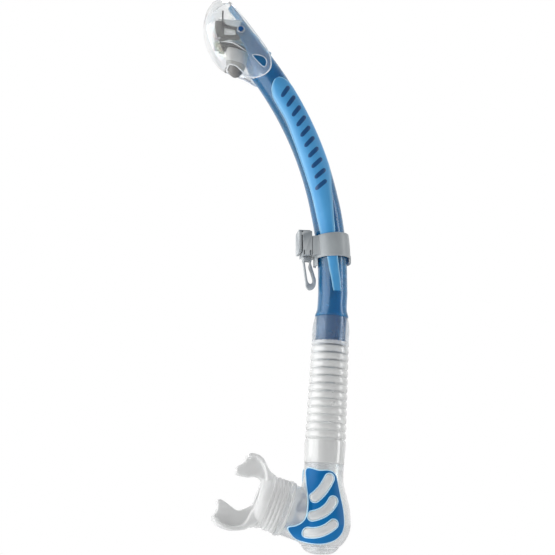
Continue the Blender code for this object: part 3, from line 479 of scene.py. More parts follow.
def placed(at, ring):
    """A ring in millimetres moved by a frame in metres, in millimetres again."""
    return [(at @ (Vector(p) * MM)) / MM for p in ring]


def half_width(t):
    """The barrel's half width t degrees up its arc; it narrows towards the arc's foot."""
    return LOW_HALF + (HALF_WIDTH - LOW_HALF) * min(max(t / TAPER_END, 0.0), 1.0)


def lean(t):
    """How far the barrel's outer skin sits towards its hollow side, t degrees up its arc."""
    return LEAN * min(max(t / LEAN_END, 0.0), 1.0)


def along(at, distance):
    """A frame moved along its own Z, in millimetres."""
    return at @ Matrix.Translation((0, 0, distance * MM))


def barrel_stations():
    """Frame, half width, half depth for the outer and the inner skin, from the spigot up."""
    # The spigot has four grooves round it. Rows are the drop below the knee, half width and half depth.
    lower = [(39, 11.2, 11.2), (38.4, 11.5, 11.5), (18.7, 11.5, 11.5), (18.7, 12.8, 13.1), (18.3, 13, 13.4),
             (17.2, 12.8, 13.5), (15.6, 12.2, 13.6), (13.9, 11.7, 13.7), (12, 11.4, 13.8),
             (10, 11.3, 13.8)]
    for k in range(4):
        drop = 35.5 - 4.2 * k
        lower[2 + 4 * k:2 + 4 * k] = [(drop + 0.6, 11.5, 11.5), (drop + 0.3, 11.1, 11.1),
                                      (drop - 0.3, 11.1, 11.1), (drop - 0.6, 11.5, 11.5)]
    lower_bore = ((39, 9.6, 9.6), (22.7, 9.6, 9.6), (18.7, 9.6, 10.4), (12, 9.4, 11.9))
    outer = [(along(TUBE, -drop), a, b) for drop, a, b in lower]
    inner = [(along(TUBE, -drop), a, b) for drop, a, b in lower_bore]
    for k in range(KNEE_STEPS + 1):
        turn = Matrix.Translation(KNEE) @ turn_y(TUBE_LEAN * (1 - k / KNEE_STEPS))
        here = along(turn, -5 + 5 * k / 3)
        outer.append((here, LOW_HALF, HALF_DEPTH))
        inner.append((here, LOW_HALF - WALL, BORE_DEPTH))
    for k in range(ARC_STEPS + 1):
        t = ARC_DEGREES * k / ARC_STEPS
        here = arc_frame(ARC_ANGLE * k / ARC_STEPS)
        half = half_width(t)
        shift = lean(t)
        outer.append((here @ Matrix.Translation((-shift * MM, 0, 0)), half - shift, HALF_DEPTH))
        bore = min(half - WALL, BORE_WIDTH - shift / 4)
        inner.append((here @ Matrix.Translation((-shift * MM / 4, 0, 0)), bore, BORE_DEPTH))
    # The spine stands above the arc's head. Rows are the height over the head and the half width.
    for up, half in ((1.2, 12.5), (2.2, 11.9), (3.2, 11.5), (12, 11.4), (14, 11.8), (20, 11.8), (22, 11.3),
                     (36, 11.2), (38, 11.5), (52, 11.4)):
        outer.append((along(HEAD, up), half, HALF_DEPTH))
        inner.append((along(HEAD, up), min(half - WALL, BORE_WIDTH), BORE_DEPTH))
    return outer, inner


# The snap lug on the head's side, in the head's X and Z.
LUG = [(-5.6, 4.2), (-2.6, 3), (0.2, -0.2), (0.9, -3.2), (-0.6, -6.2), (-3.6, -7.6), (-4.8, -4.4)]


def lug_outline(grow):
    """The lug's smooth outline, scaled about its middle."""
    middle = Vector((-2.2, -1.6))
    return curve([middle + (Vector(p) - middle) * grow for p in LUG], 8)


def head_point(x, z):
    """A point of the side view, in the model's X and Z, moved to the head's frame; all in millimetres."""
    return HEAD.inverted() @ Vector((x * MM, 0, z * MM)) / MM


def make_barrel():
    """The barrel with its spigot, its mouth between the two ears, the spine and the snap lugs."""
    outer, inner = barrel_stations()
    rings = [placed(f, oval(a, b, 0, 72)) for f, a, b in outer]
    rings += [placed(f, oval(a, b, 0, 72)) for f, a, b in inner[::-1]]
    tube = add("barrel_moulding", skin(rings, loop=True))
    pin = head_point(*BRACKET_PIN)
    edge = curve([(-30, -6), (-13, -6), (-8.8, 3.5), (-6.7, 9), (-4.4, 18)], 5, closed=False)
    angles = [math.radians(200 - 8 * k) for k in range(16)]
    ear = [(pin.x + 3.4 * math.cos(a), pin.z + 3.4 * math.sin(a)) for a in angles]
    spine = [(6, 33.5), (7.6, 36.5), (8.8, 38.6), (9.4, 41), (9.4, 70), (-30, 70)]
    outline = edge + ear + spine
    cut(tube, add("mouth", prism(outline, -20, 20), HEAD))
    for side in (-1, 1):
        join(tube, add("lug", prism(lug_outline(0.9), *sorted((side * 12.6, side * 15.3))), HEAD))
    round_edges(tube, 0.35, 2, 50)
    finish(tube, "barrel", BLUE, "translucent_blue", "barrel_tube", angle=40)


# The inlay's edges: degrees up the arc from its foot, then the degrees round from the side of both edges.
INLAY = [(33.2, -4, 12), (33, -14, 22), (32.6, -27, 36), (31.9, -40, 52), (30.8, -51, 68), (29, -52, 82),
         (26, -51, 84), (22.6, -58, 84), (18.5, -62, 80), (15.5, -60, 52), (12.7, -57, 28), (9.2, -55, 14),
         (6.4, -51, 8), (4, -42, 6), (1.9, -31, 8), (0, -25, 12), (-1.64, -17, 17), (-3.68, -9, 21)]
PER_DEGREE = ARC_MM * math.pi / 180
PER_ROUND = 13 * math.pi / 180
STRAIGHT_TOP = -22
BARS = 10
FIRST_BAR = 30.6
BAR_STEP = 1.86


def station(t):
    """The barrel's frame t degrees up its arc; below the arc a degree stands for the same length."""
    if t >= 0:
        return arc_frame(math.radians(t))
    return Matrix.Translation((BARREL_X, 0, (STRAIGHT_TOP + PER_DEGREE * t) * MM))


def on_barrel(t, round_angle, depth, side):
    """A point in millimetres on the barrel's skin, t degrees up the arc."""
    a = math.radians(round_angle)
    half = half_width(t) - lean(t) + depth
    spot = Vector((half * math.sin(a) - lean(t), side * (HALF_DEPTH + depth) * math.cos(a), 0))
    return (station(t) @ (spot * MM)) / MM


def make_inlay(side, label):
    """The inlay on one side: a thin skin with rounded margins painted lighter as a highlight, an edge line
    and the grip bars.
    """
    rows = curve(INLAY, 5, closed=False)
    across = 28
    rings = []
    for t, low, high in rows:
        ring = []
        for k in range(across + 1):
            u = k / across
            edge = min(u, 1 - u) * (high - low) / 3.5
            depth = 0.14 - 0.5 * max(0.0, 1 - edge) ** 2
            ring.append(on_barrel(t, low + (high - low) * u, depth, side))
        for k in range(across, -1, -1):
            ring.append(on_barrel(t, low + (high - low) * k / across, -0.5, side))
        rings.append(ring)
    solid = add("inlay_skin_" + label, skin(rings))
    # Painted highlight: the inlay is marked lighter towards both of its margins.
    painted_light_mask = solid.data.attributes.new("painted_light_mask", "FLOAT", "POINT")
    for index, value in enumerate(painted_light_mask.data):
        k = index % (2 * across + 2)
        u = min(k, 2 * across + 1 - k) / across
        value.value = max(0.0, 1 - min(u, 1 - u) / 0.2) ** 1.5 * 0.8
    finish(solid, "barrel", INLAY_MAT, "light_blue", "inlay_" + label)
    # A raised pale border along both edges; its paler blue is also a painted highlight along them.
    path = [on_barrel(t, low, -0.14, side) for t, low, high in rows]
    path += [on_barrel(t, high, -0.14, side) for t, low, high in rows[::-1]]
    line = add("inlay_edge_" + label, swept(path, 0.32, 8, closed=True))
    finish(line, "barrel", EDGE_BLUE, "light_blue")
    make_marks(side, label, rows)


def make_marks(side, label, rows):
    """Plain slanted grip bars in a row along the inlay."""
    bars = []
    for k in range(BARS):
        t = FIRST_BAR - BAR_STEP * k
        upper, lower = next(pair for pair in zip(rows, rows[1:]) if pair[0].x >= t >= pair[1].x)
        low = (upper.y + lower.y) / 2
        high = min((upper.z + lower.z) / 2, 58)
        middle = (low + high) / 2 + 2
        span = min(26.0, (high - low) * 0.3)
        way = Vector((0.55 * PER_DEGREE, span * PER_ROUND)).normalized()
        rings = []
        for u in (v / 10 - 1 for v in range(21)):
            wide = 1.85 * max(0.03, 1 - abs(u) ** 6) ** 0.5
            ring = []
            for a in turns(16):
                out = wide * math.cos(a)
                spot = (t + 0.55 * u - out * way.y / PER_DEGREE, middle + span * u + out * way.x / PER_ROUND)
                ring.append(on_barrel(*spot, 0.1 + 0.15 * math.sin(a), side))
            rings.append(ring)
        bars.append(add("bar", skin(rings)))
    finish(gathered("grip_bars_" + label, bars), "barrel", BAR, "light_blue")


# -------- keeper
BAND_BORE = (13.15, 14.5)
FITTING_BORE = (13.06, 14.41)


def make_keeper():
    """The band round the barrel, with the pad that carries the clip and the finger and tab under it."""
    profile = [(1.9, -0.5), (1.93, -0.25), (2, -0.05), (2.12, 0.05), (2.8, 0.15), (3.8, 0.2), (4.8, 0.15),
               (5.48, 0.05), (5.6, -0.05), (5.67, -0.25), (5.7, -0.5)]
    outer = [placed(arc_frame(math.radians(t)), oval(14.25 + e, 15.55 + e, 0, 120)) for t, e in profile]
    inner = [placed(arc_frame(math.radians(t)), oval(*BAND_BORE, 0, 120)) for t, _ in profile]
    band = add("keeper_band", skin(outer + inner[::-1], loop=True))
    finish(band, "keeper", GREY, "keeper_grey", "keeper_collar")
    pad = upright([(10.5, -8.8), (13.6, -9.6), (17.5, -10.6), (19.5, -10), (19.5, 10), (17.5, 10.6),
                   (13.6, 9.6), (10.5, 8.8)], -11, 4)
    fittings = add("keeper_fittings", pad)
    finger = [(12.5, 0), (12.7, -2.4), (13.6, -4.2), (15.4, -5), (15.4, 5), (13.6, 4.2), (12.7, 2.4)]
    join(fittings, add("finger", upright(finger, -18.6, -9)))
    degrees = (-1, 0, 1, 2, 3, 4, 5, 6, 7.5)
    bore = [placed(arc_frame(math.radians(a)), oval(*FITTING_BORE, 0, 120)) for a in degrees]
    cut(fittings, add("bore", skin(bore)))
    round_edges(fittings, 0.5, 3, 40)
    finish(fittings, "keeper", GREY, "keeper_grey")
    outline = [(39.6, -5), (41.5, -4.4), (41.9, 0), (41.5, 4.4), (39.6, 5)]
    tab = add("keeper_tab", upright(outline, -16, -10))
    cut(tab, add("bore", skin(bore)))
    round_edges(tab, 0.4, 3, 40)
    finish(tab, "keeper", GREY, "keeper_grey")
    make_clip()
    make_hook()


def make_clip():
    """The clip block with the thin strap plate that closes against it."""
    outline = [(2.9, 7.4), (3.4, 7.9), (9.7, 7.9), (10.2, 7.4), (10.2, -10.7), (9.7, -11.2), (3.4, -11.2),
               (2.9, -10.7)]
    block = add("clip_block_body", prism(outline, -9, 9))
    for x in (3.4, 8.4):
        for side in (-1, 1):
            low, high = sorted((side * 10, side * 5))
            slit = upright([(x, low), (x + 1.1, low), (x + 1.1, high), (x, high)], -12.0, -7.6)
            cut(block, add("slit", slit))
    cut(block, add("peg_hole", turned([(1.95, -2), (1.95, 5)], 32), PEG))
    for side in (-1, 1):
        boss = upright([(1.7, side * 7), (3.4, side * 7), (3.4, side * 9), (1.7, side * 9)], 4.6, 6.6)
        join(block, add("boss", boss))
    round_edges(block, 0.45, 3, 40)
    finish(block, "keeper", CLIP_GREY, "keeper_grey", "clip_block")
    corners = []
    for k, (sx, sy) in enumerate(((1, 1), (-1, 1), (-1, -1), (1, -1))):
        for step in range(9):
            a = math.radians(90 * k + 90 * step / 8)
            corners.append((sx * 6.6 + 2.4 * math.cos(a), sy * 6.6 + 2.4 * math.sin(a)))
    cover = add("strap_plate_body", upright(corners, 0.0, 1.9), turn_y(math.radians(90)))
    join(cover, add("lip", prism([(0.6, 8.2), (0.6, 9), (9.2, 9), (9.2, 8.2)], -6.5, 6.5)))
    round_edges(cover, 0.35, 3, 40)
    finish(cover, "keeper", CLIP_GREY, "keeper_grey", "strap_plate")


# The strap hook's loop, in millimetres from the peg, in X and Z.
LOOP_OUTSIDE = [(-3, -1.2), (-2.5, -4), (-2.1, -7), (-1.3, -13.4), (-0.5, -19.7), (0.2, -24),
                (2.8, -26.2), (6.5, -24.3), (7.5, -19.1), (6.4, -14.5), (5.2, -10.3), (3.8, -5.4),
                (4.2, -2.6), (3.2, -0.8), (-1.8, -0.6)]
LOOP_INSIDE = [(-1, -3.9), (2.6, -4), (2, -7.9), (3.8, -13.2), (5.1, -19.4), (3.2, -21.6), (1.1, -19.7),
               (-0.1, -12.3), (-0.8, -6.9)]


def make_hook():
    """Swivel peg and the closed strap hook that turns on it."""
    peg = turned([(1.3, -3), (1.6, -2.8), (1.6, 2.9), (2.4, 3), (2.3, 3.6), (2, 4.6)], 32)
    finish(add("peg", peg, PEG), "hook", CLIP_GREY, "keeper_grey", "swivel_peg", angle=50)
    outside = curve(LOOP_OUTSIDE, 4)
    inside = curve(LOOP_INSIDE, 4)
    loop = add("hook_loop", prism(outside, -1.7, 1.7), PEG)
    head = [(-2.4, -2.4), (3.2, -2.4), (3.8, -1.8), (3.8, 1.8), (3.2, 2.4), (-2.4, 2.4), (-2.9, 1.8),
            (-2.9, -1.8)]
    join(loop, add("head", upright(head, -3.7, -0.4), PEG))
    cut(loop, add("opening", prism(inside, -5, 5), PEG))
    cut(loop, add("hole", turned([(1.9, -3.2), (1.9, 2)], 32), PEG))
    round_edges(loop, 0.55, 3, 50)
    finish(loop, "hook", CLIP_GREY, "keeper_grey", "strap_hook", angle=50)


# -------- head
# The shroud's sections in the head's frame: height, right edge, left edge, half depth and the oval's power.
SHROUD = [(-15, 14.2, -14.2, 15.5, 2), (-8, 14.2, -15.6, 15.5, 2), (-2, 14.2, -18.8, 15.5, 2),
          (4, 14.2, -22.8, 15.6, 2.1), (10, 14.2, -26.6, 16, 2.2), (17, 14.1, -28.8, 16.5, 2.3),
          (25, 14, -28.9, 16.6, 2.4), (33, 13.8, -27.3, 16.4, 2.4), (40, 13.6, -25.2, 15.9, 2.4),
          (47, 13.2, -21.8, 14.9, 2.4), (53, 12.2, -17.2, 13, 2.3), (58, 10.2, -11.8, 10.2, 2.2),
          (61.5, 7.2, -6.4, 6.9, 2.1), (63.6, 3.6, -1.6, 3, 2)]
# The lower edge of the shroud, in the head's X and Z, from the water guard to the barrel's back.
RIM = [(-34, 11.5), (-24, 11), (-20.5, 7), (-18, 0), (-15.8, -5), (-12.6, -9.5), (-8.5, -12.2), (-4.5, -12.8),
       (-0.5, -11.5), (3, -8), (6, -3), (8.2, 3), (9, 10)]
RIM_TOP = 52.4


def shroud_rows():
    return curve(SHROUD, 4, closed=False)


def shroud_rings(inset, extend):
    """Rings of the shroud's skin, set in by a wall, with the lowest one moved down by extend."""
    rings = []
    for k, (height, right, left, deep, power) in enumerate(shroud_rows()):
        s = height - (extend if k == 0 else 0)
        if height > 50:
            s -= inset * (height - 50) / 13.6
        rings.append(oval(max((right - left) / 2 - inset, 0.6), max(deep - inset, 0.6), s, 96, power,
                          (right + left) / 2))
    return rings


def shroud_depth(x, s):
    """Half depth of the shroud's outer skin at this place of its side view."""
    rows = shroud_rows()
    for a, b in zip(rows, rows[1:]):
        if a[0] <= s <= b[0]:
            f = (s - a[0]) / (b[0] - a[0])
            _, right, left, deep, power = a * (1 - f) + b * f
            u = min(abs(x - (right + left) / 2) / ((right - left) / 2), 1.0)
            return deep * (1 - u ** power) ** (1 / power)
    return 0.0


def make_shroud():
    """The clear shell with its windows and pin holes, and the beads round its rim and its windows."""
    shell = add("shroud_shell", skin(shroud_rings(0, 0)), HEAD)
    cut(shell, add("hollow", skin(shroud_rings(1.4, 3)), HEAD))
    cut(shell, add("socket", skin([oval(12.8, 14.1, z, 96) for z in (-20, 54)]), HEAD))
    outline = curve(RIM, 6, closed=False)
    outline += [(9, RIM_TOP), (20, RIM_TOP), (20, -30), (-34, -30)]
    cut(shell, add("rim", prism(outline, -25, 25), HEAD))
    for side in (-1, 1):
        span = sorted((side * 8, side * 25))
        cut(shell, add("window", prism(lug_outline(1.05), *span), HEAD))
        cut(shell, add("pin_hole", rod_y(1.5, *BRACKET_PIN, *span)))
    finish(shell, "barrel", SHROUD_MAT, "clear_plastic", "head_shroud", angle=30)
    # The rim is rolled to a bead all the way round, and so is each window; the beads' whiter plastic paints
    # the highlight along them.
    path = []
    back = [(9, s) for s in (16, 22, 28, 34, 40, 46, 51)]
    for x, s in curve(RIM[1:], 5, closed=False) + back:
        y = shroud_depth(x, s) - 0.55
        if y > 0.2:
            path.append(Vector((x, -y, s)))
    left = Vector((path[0].x - 1.0, 0, path[0].z))
    top = Vector((12.2, 0, RIM_TOP))
    far = [Vector((p.x, -p.y, p.z)) for p in path[::-1]]
    bead = add("shroud_rim", swept([left] + path + [top] + far, 0.5, 12, closed=True), HEAD)
    finish(bead, "barrel", RIM_CLEAR, "clear_plastic", angle=60)
    for side, label in SIDES:
        ring = [Vector((x, side * (shroud_depth(x, s) - 0.15), s)) for x, s in lug_outline(1.1)]
        made = add("window_rim_" + label, swept(ring, 0.24, 8, closed=True), HEAD)
        finish(made, "barrel", RIM_CLEAR, "clear_plastic", angle=60)
        make_ridges(side, label)


# Moulded ridges on the shroud's sides, in the whiter rim plastic that paints a highlight along them:
# thickness, and points in the model's X and Z. The first guards the float from water.
RIDGES = [(0.36, [(-64.5, 159.1), (-60, 158.9), (-56.3, 158.3), (-53.1, 157.6), (-47.6, 154.5),
                  (-42, 150.9)]),
          (0.2, [(-74, 180), (-70.8, 187.2), (-65, 191.8)]),
          (0.2, [(-71, 182.5), (-67.4, 188.6), (-62, 192.2)])]


def make_ridges(side, label):
    """Thin ridges along the shroud, and the ring round the bracket's pin."""
    items = []
    for thick, points in RIDGES:
        path = []
        for p in curve(points, 6, closed=False):
            spot = head_point(p.x, p.y)
            path.append(Vector((spot.x, side * (shroud_depth(spot.x, spot.z) - 0.1), spot.z)))
        line = swept(path, lambda u, r=thick: r * max(0.1, 1 - abs(2 * u - 1) ** 4), 8)
        items.append(add("ridge", line, HEAD))
    pin = head_point(*BRACKET_PIN)
    ring = []
    for a in turns(32):
        x = pin.x + 2.9 * math.cos(a)
        z = pin.z + 2.9 * math.sin(a)
        ring.append(Vector((x, side * (shroud_depth(x, z) + 0.05), z)))
    items.append(add("ring", swept(ring, 0.26, 8, closed=True), HEAD))
    finish(gathered("shroud_ridges_" + label, items), "barrel", RIM_CLEAR, "clear_plastic", angle=60)


def make_valve():
    """The valve's bracket with its post and arm, the two halves of the float, and the seal disc."""
    cheek = [(-67.4, 161.6), (-60.6, 161.6), (-58.6, 163.4), (-48.6, 163.4), (-44.2, 168.4), (-44.2, 171.8),
             (-46, 173.4), (-58.8, 175.8), (-60.4, 178.8), (-67.4, 178.8)]
    bracket = add("bracket_body", prism(cheek, -10.3, 10.3))
    window = [(-60.2, 167), (-60.2, 173.2), (-51.6, 171.9), (-50.8, 167.4)]
    cut(bracket, add("window", prism(window, -20, 20)))
    cut(bracket, add("inside", prism([(-66.2, 150), (-66.2, 190), (-30, 190), (-30, 150)], -9.1, 9.1)))
    cut(bracket, add("pin_hole", rod_y(1.5, *BRACKET_PIN, -20, 20)))
    cut(bracket, add("hinge_hole", rod_y(1.1, -64, 164, -20, 20)))
    round_edges(bracket, 0.25, 2, 40)
    finish(bracket, "barrel", DARK, "dark_grey", "valve_bracket")
    stem = [(-62.2, 174), (-61, 174), (-61, 187), (-62.2, 187)]
    post = add("bracket_post", prism(stem, -11.2, -10.2))
    arm = [(-61, 174.6), (-56, 173.6), (-56, 174.8), (-61, 176.4)]
    join(post, add("arm", prism(arm, -11.0, -10.2)))
    round_edges(post, 0.25, 2, 40)
    finish(post, "barrel", BLACK, "dark_grey")
    body_rows = curve(FLOAT_ROWS[:4], 6, closed=False)
    cap_rows = curve(FLOAT_ROWS[3:], 6, closed=False)
    for name, rows, mat, node in (("float_top", body_rows, FLOAT_LIGHT, "float_body"),
                                  ("float_foot", cap_rows, FLOAT_DARK, "float_cap")):
        rings = [oval((right - left) / 2, deep, z, 64, 2.5, (left + right) / 2)
                 for z, left, right, deep in rows]
        made = add(name, skin(rings), FLOAT)
        round_edges(made, 0.5, 3, 50)
        finish(made, "float", mat, "float_grey", node, angle=50)
    disc = [(13.4 + 10.9 * math.cos(a), 8.4 * math.sin(a)) for a in turns(64)]
    seal = add("seal_pad", upright(disc, 0, 1.1), FLOAT)
    round_edges(seal, 0.3, 3, 40)
    finish(seal, "float", SEAL, "seal_rubber", "seal_disc")


# The float's sections below its hinge: height, left edge, right edge and half depth.
FLOAT_ROWS = [(-2.2, 7.6, 25.2, 6.6), (-6, 8, 26.2, 7.1), (-11, 9.4, 26.6, 7.2),
              (-13, 10.2, 26.6, 7.2), (-15, 11, 26.4, 7.1), (-18.4, 13, 25.4, 6.2),
              (-21.5, 15.3, 23.8, 4.5), (-23.4, 18.3, 21.8, 2)]


# -------- lower tube
# Drops below the knee, along the tube.
RIBS = 12
RIB_PITCH = 5.9
FIRST_RIB = 42
CUFF_END = 38.6
LAST_RIB_END = 112.8
# How many grooves under the cuff get painted shade.
SHADED_GROOVES = 9


def make_flex():
    """One silicone moulding with twelve soft ribs between two cuffs."""
    outer = [(12.6, 19), (12.9, 19.2), (13.1, 20), (13.4, 22), (14, 25), (14.4, 29), (14.4, 33),
             (14.2, 36.4), (14.2, 38.4), (14.5, 38.8), (14.5, 40.6), (14.2, 41), (13.6, 41.6), (13.2, 42)]
    for k in range(RIBS):
        crest = 14.7 + 0.9 * k / (RIBS - 1)
        top = FIRST_RIB + RIB_PITCH * k
        for j in range(1, 13):
            u = j / 12
            lift = max(0.0, math.sin(math.pi * u)) ** 0.55
            outer.append((crest - 1.4 + 1.4 * lift, top + RIB_PITCH * u))
    outer += [(14.2, 112.9), (15.2, 113.6), (15.6, 114.4), (15.7, 116.5), (15.5, 121), (15.3, 126),
              (15.2, 130.2), (15, 131.1), (14.6, 131.5)]
    inner = [(11.7, 19), (11.7, 40.5), (12, 44)]
    for k in range(RIBS):
        top = 44 + 5.6 * k
        inner += [(12.1, top + 1.4), (12.7, top + 2.8), (12.2, top + 4.2)]
    inner += [(12.7, LAST_RIB_END), (12.7, 131.5)]
    made = add("flex_tube_moulding", turned([(r, -z) for r, z in outer + inner[::-1]], 80, loop=True), TUBE)
    finish(made, None, SILICONE, "clear_silicone", angle=50)
    made.data.materials.append(CUFF_MAT)
    # Painted shade in the upper grooves, marked in the mesh for the silicone's edge colour.
    paint_groove_shade(made)
    for face in made.data.polygons:
        drop = -(TUBE.inverted() @ face.center).z / MM
        face.material_index = 1 if drop < CUFF_END else 0
    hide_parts("flex_tube")
    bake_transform(made)


def paint_groove_shade(tube):
    """Painted shade in the grooves under the cuff, on their front and back, fading down the tube; it stands
    in for the dark inside seen through the silicone.
    """
    painted_light_mask = tube.data.attributes.new("painted_light_mask", "FLOAT", "POINT")
    for vertex, value in zip(tube.data.vertices, painted_light_mask.data):
        spot = (TUBE.inverted() @ vertex.co) / MM
        around = math.hypot(spot.x, spot.y)
        count = (-spot.z - FIRST_RIB) / RIB_PITCH
        near = math.exp(-((count - round(count)) * RIB_PITCH / 0.8) ** 2)
        if around > 12.9 and -0.4 < count < SHADED_GROOVES:
            fade = 1 - max(count, 0.0) / SHADED_GROOVES
            value.value = 0.85 * near * fade * max(abs(spot.y) / around - 0.55, 0.0) / 0.45


CHAMBER_FLOOR = 191
SHELL_WALL = 1.8
SLOT_RADIUS = 3.6


def pear(offset, floor):
    """Profile of the pear-shaped chamber, grown by offset, down to a floor."""
    rows = [(14.9, 131.8), (14.9, 138), (15.6, 146), (18.5, 155.5), (20.9, 163.5)]
    rows += [(22 * math.sqrt(1 - (d / 23) ** 2), 174 + d) for d in ((floor - 174) * k / 6 for k in range(7))]
    smooth = curve(rows, 4, closed=False)
    return [(r + offset, -z) for r, z in smooth]


def port_bar(radius, low, high):
    """A round bar on the axis of the mouthpiece's port."""
    return add("bar", turned([(radius, low), (radius, high)]), PORT)


def chamber_skin(offset):
    """The outside of the chamber and its port, grown by offset."""
    solid = add("grown", turned(pear(offset, CHAMBER_FLOOR)), TUBE)
    return join(solid, port_bar(19.2 + offset, 4, 25.2))


# The overlay's outline, and the middle lines of its three slots, in the model's X and Z.
OVERLAY_EDGE = [(5.4, -174.8), (13.2, -176.6), (20, -176.6), (24.4, -178.6), (26.6, -183.5), (28.4, -195),
                (30.5, -210), (29.9, -219), (26.8, -224.4), (22, -227.6), (15, -229.4), (7.6, -229.2),
                (0.3, -227.4), (-5.5, -224.4), (-10.3, -218.2), (-4.8, -216.6), (-0.6, -214.4), (2.4, -210.2),
                (3.8, -203), (4.6, -194), (4.6, -184)]
SLOTS = [((9.2, -196.6), (15.4, -190.6), (20.6, -182.4)), ((6.9, -209.8), (16, -206.2), (22.4, -199)),
         ((3.8, -221.3), (12.8, -220.8), (22, -215.6))]


def bean(path, radius):
    """Outline of a bent slot about three points."""
    count = 12
    start, middle, end = (Vector(p) for p in path)
    bend = 2 * middle - (start + end) / 2
    left = []
    right = []
    for k in range(count + 1):
        t = k / count
        spot = (1 - t) ** 2 * start + 2 * t * (1 - t) * bend + t * t * end
        way = (2 * (1 - t) * (bend - start) + 2 * t * (end - bend)).normalized()
        side = Vector((-way.y, way.x))
        left.append(spot + side * radius)
        right.append(spot - side * radius)

    def cap(centre, first):
        base = math.atan2(first.y - centre.y, first.x - centre.x)
        return [centre + radius * Vector((math.cos(a), math.sin(a)))
                for a in (base - math.pi * k / count for k in range(1, count))]
    return left + cap(end, left[-1]) + right[::-1] + cap(start, right[0])


def surface(solid):
    """The solid's surface, to drop points on."""
    bpy.context.view_layer.update()
    bm = bmesh.new()
    bm.from_mesh(solid.data)
    bm.transform(solid.matrix_world)
    found = BVHTree.FromBMesh(bm)
    bm.free()
    return found


def drop_on(tree, x, z, side):
    """Where a line along Y first meets the surface, and the surface's normal there, in millimetres."""
    hit = tree.ray_cast(Vector((x, side * 60, z)) * MM, Vector((0, -side, 0)))
    if hit[0] is None:
        near = tree.find_nearest(Vector((x, side * 12, z)) * MM)
        return near[0] / MM, near[1]
    return hit[0] / MM, hit[1]


def make_chamber():
    """The clear chamber with its neck, port and spigot, and the overlays on both sides."""
    profile = [(12.4, -114.6), (12.4, -131.8)] + pear(0, CHAMBER_FLOOR)
    shell = add("chamber_moulding", turned(profile), TUBE)
    join(shell, port_bar(19.2, 4, 26.7), port_bar(17.3, 20, 34))
    hollow = [(10.6, -105), (10.6, -131.8), (12.4, -136)] + pear(-SHELL_WALL, CHAMBER_FLOOR + 1)[8:]
    cut(shell, add("hollow", turned(hollow), TUBE))
    cut(shell, port_bar(15.6, 4, 60))
    round_edges(shell, 0.5, 3, 35)
    finish(shell, "chamber", CLEAR, "clear_plastic", "chamber_shell", angle=40)
    base = surface(chamber_skin(0))
    top = surface(chamber_skin(0.95))
    for item in [o for o in bpy.data.objects if o.name.startswith("grown")]:
        bpy.data.objects.remove(item, do_unlink=True)
    for side, label in SIDES:
        make_overlay(side, label, base, top)


def make_overlay(side, label, base, top):
    """One overlay: its blue skin, the pale piping along its edges, and the domes in its slots."""
    outer = chamber_skin(1.3)
    cut(outer, chamber_skin(0.3))
    edge = curve(OVERLAY_EDGE, 5)
    cover = add("overlay_" + label + "_skin", prism(edge, *sorted((side * 7, side * 40))))
    common(cover, outer)
    for path in SLOTS:
        cut(cover, add("slot", prism(bean(path, SLOT_RADIUS), *sorted((side * 4, side * 40)))))
    finish(cover, "chamber", OVERLAY, "overlay_blue", "overlay_" + label, angle=40)
    lines = []
    for outline in [edge] + [bean(path, SLOT_RADIUS + 0.15) for path in SLOTS]:
        path = [drop_on(top, x, z, side)[0] for x, z in outline]
        lines.append(add("line", swept(path, 0.5, 8, closed=True)))
    finish(gathered("overlay_piping_" + label, lines), "chamber", BORDER, "overlay_blue", angle=60)
    domes = []
    for path in SLOTS:
        rings = []
        for radius, lift in ((3.3, -0.6), (3.3, 0.5), (3.1, 1), (2.6, 1.45), (1.8, 1.75), (0.8, 1.9)):
            ring = []
            for x, z in bean(path, radius):
                spot, normal = drop_on(base, x, z, side)
                ring.append(spot + normal * lift)
            rings.append(ring)
        domes.append(add("dome", skin(rings)))
    finish(gathered("grip_domes_" + label, domes), "chamber", GRIP, "clear_plastic", angle=60)


# -------- mouthpiece
# The flange seen along Y, in the port's X and Z: the arch with its bite tabs, and the thinner lip shield.
ARCH = [(21.6, 49.6), (25.9, 53.9), (29, 59.2), (29.4, 65), (27.4, 69), (24, 69.2), (21.5, 69.1),
        (19.3, 70.7), (17, 73), (14.4, 73.5), (11.4, 72), (11.2, 68.6), (12.3, 62.5), (14.6, 56.6),
        (12.6, 51), (10.5, 48), (5.5, 47.3), (0.4, 48.8), (-4.5, 51.8), (-9.9, 57), (-13.4, 62),
        (-12.6, 66.6), (-10.9, 72.2), (-10, 77), (-12, 78.8), (-16, 77.2), (-20.4, 76.8),
        (-23.4, 78.2), (-25.4, 77.2), (-27.9, 73.6), (-29, 68), (-28.6, 62), (-26.8, 56.6),
        (-24.2, 52), (-21.4, 49.6), (-19.7, 46.6), (-19.6, 43.3), (20.4, 43.3), (20.7, 48)]
SHIELD = ARCH[:5] + [(25, 67.6), (26.6, 64.6), (26.2, 60), (23.4, 55.6), (18, 51.6), (10, 49.2),
                     (0, 49.6), (-9.6, 52.4), (-17.6, 53.6), (-22.4, 56), (-25.4, 61.4), (-26.2, 67.6),
                     (-25.4, 72.6), (-23.6, 75.4)] + ARCH[28:36] + [(0.4, 45.2), (20.4, 46), (20.7, 48)]
BELLOWS_PITCH = 2.8


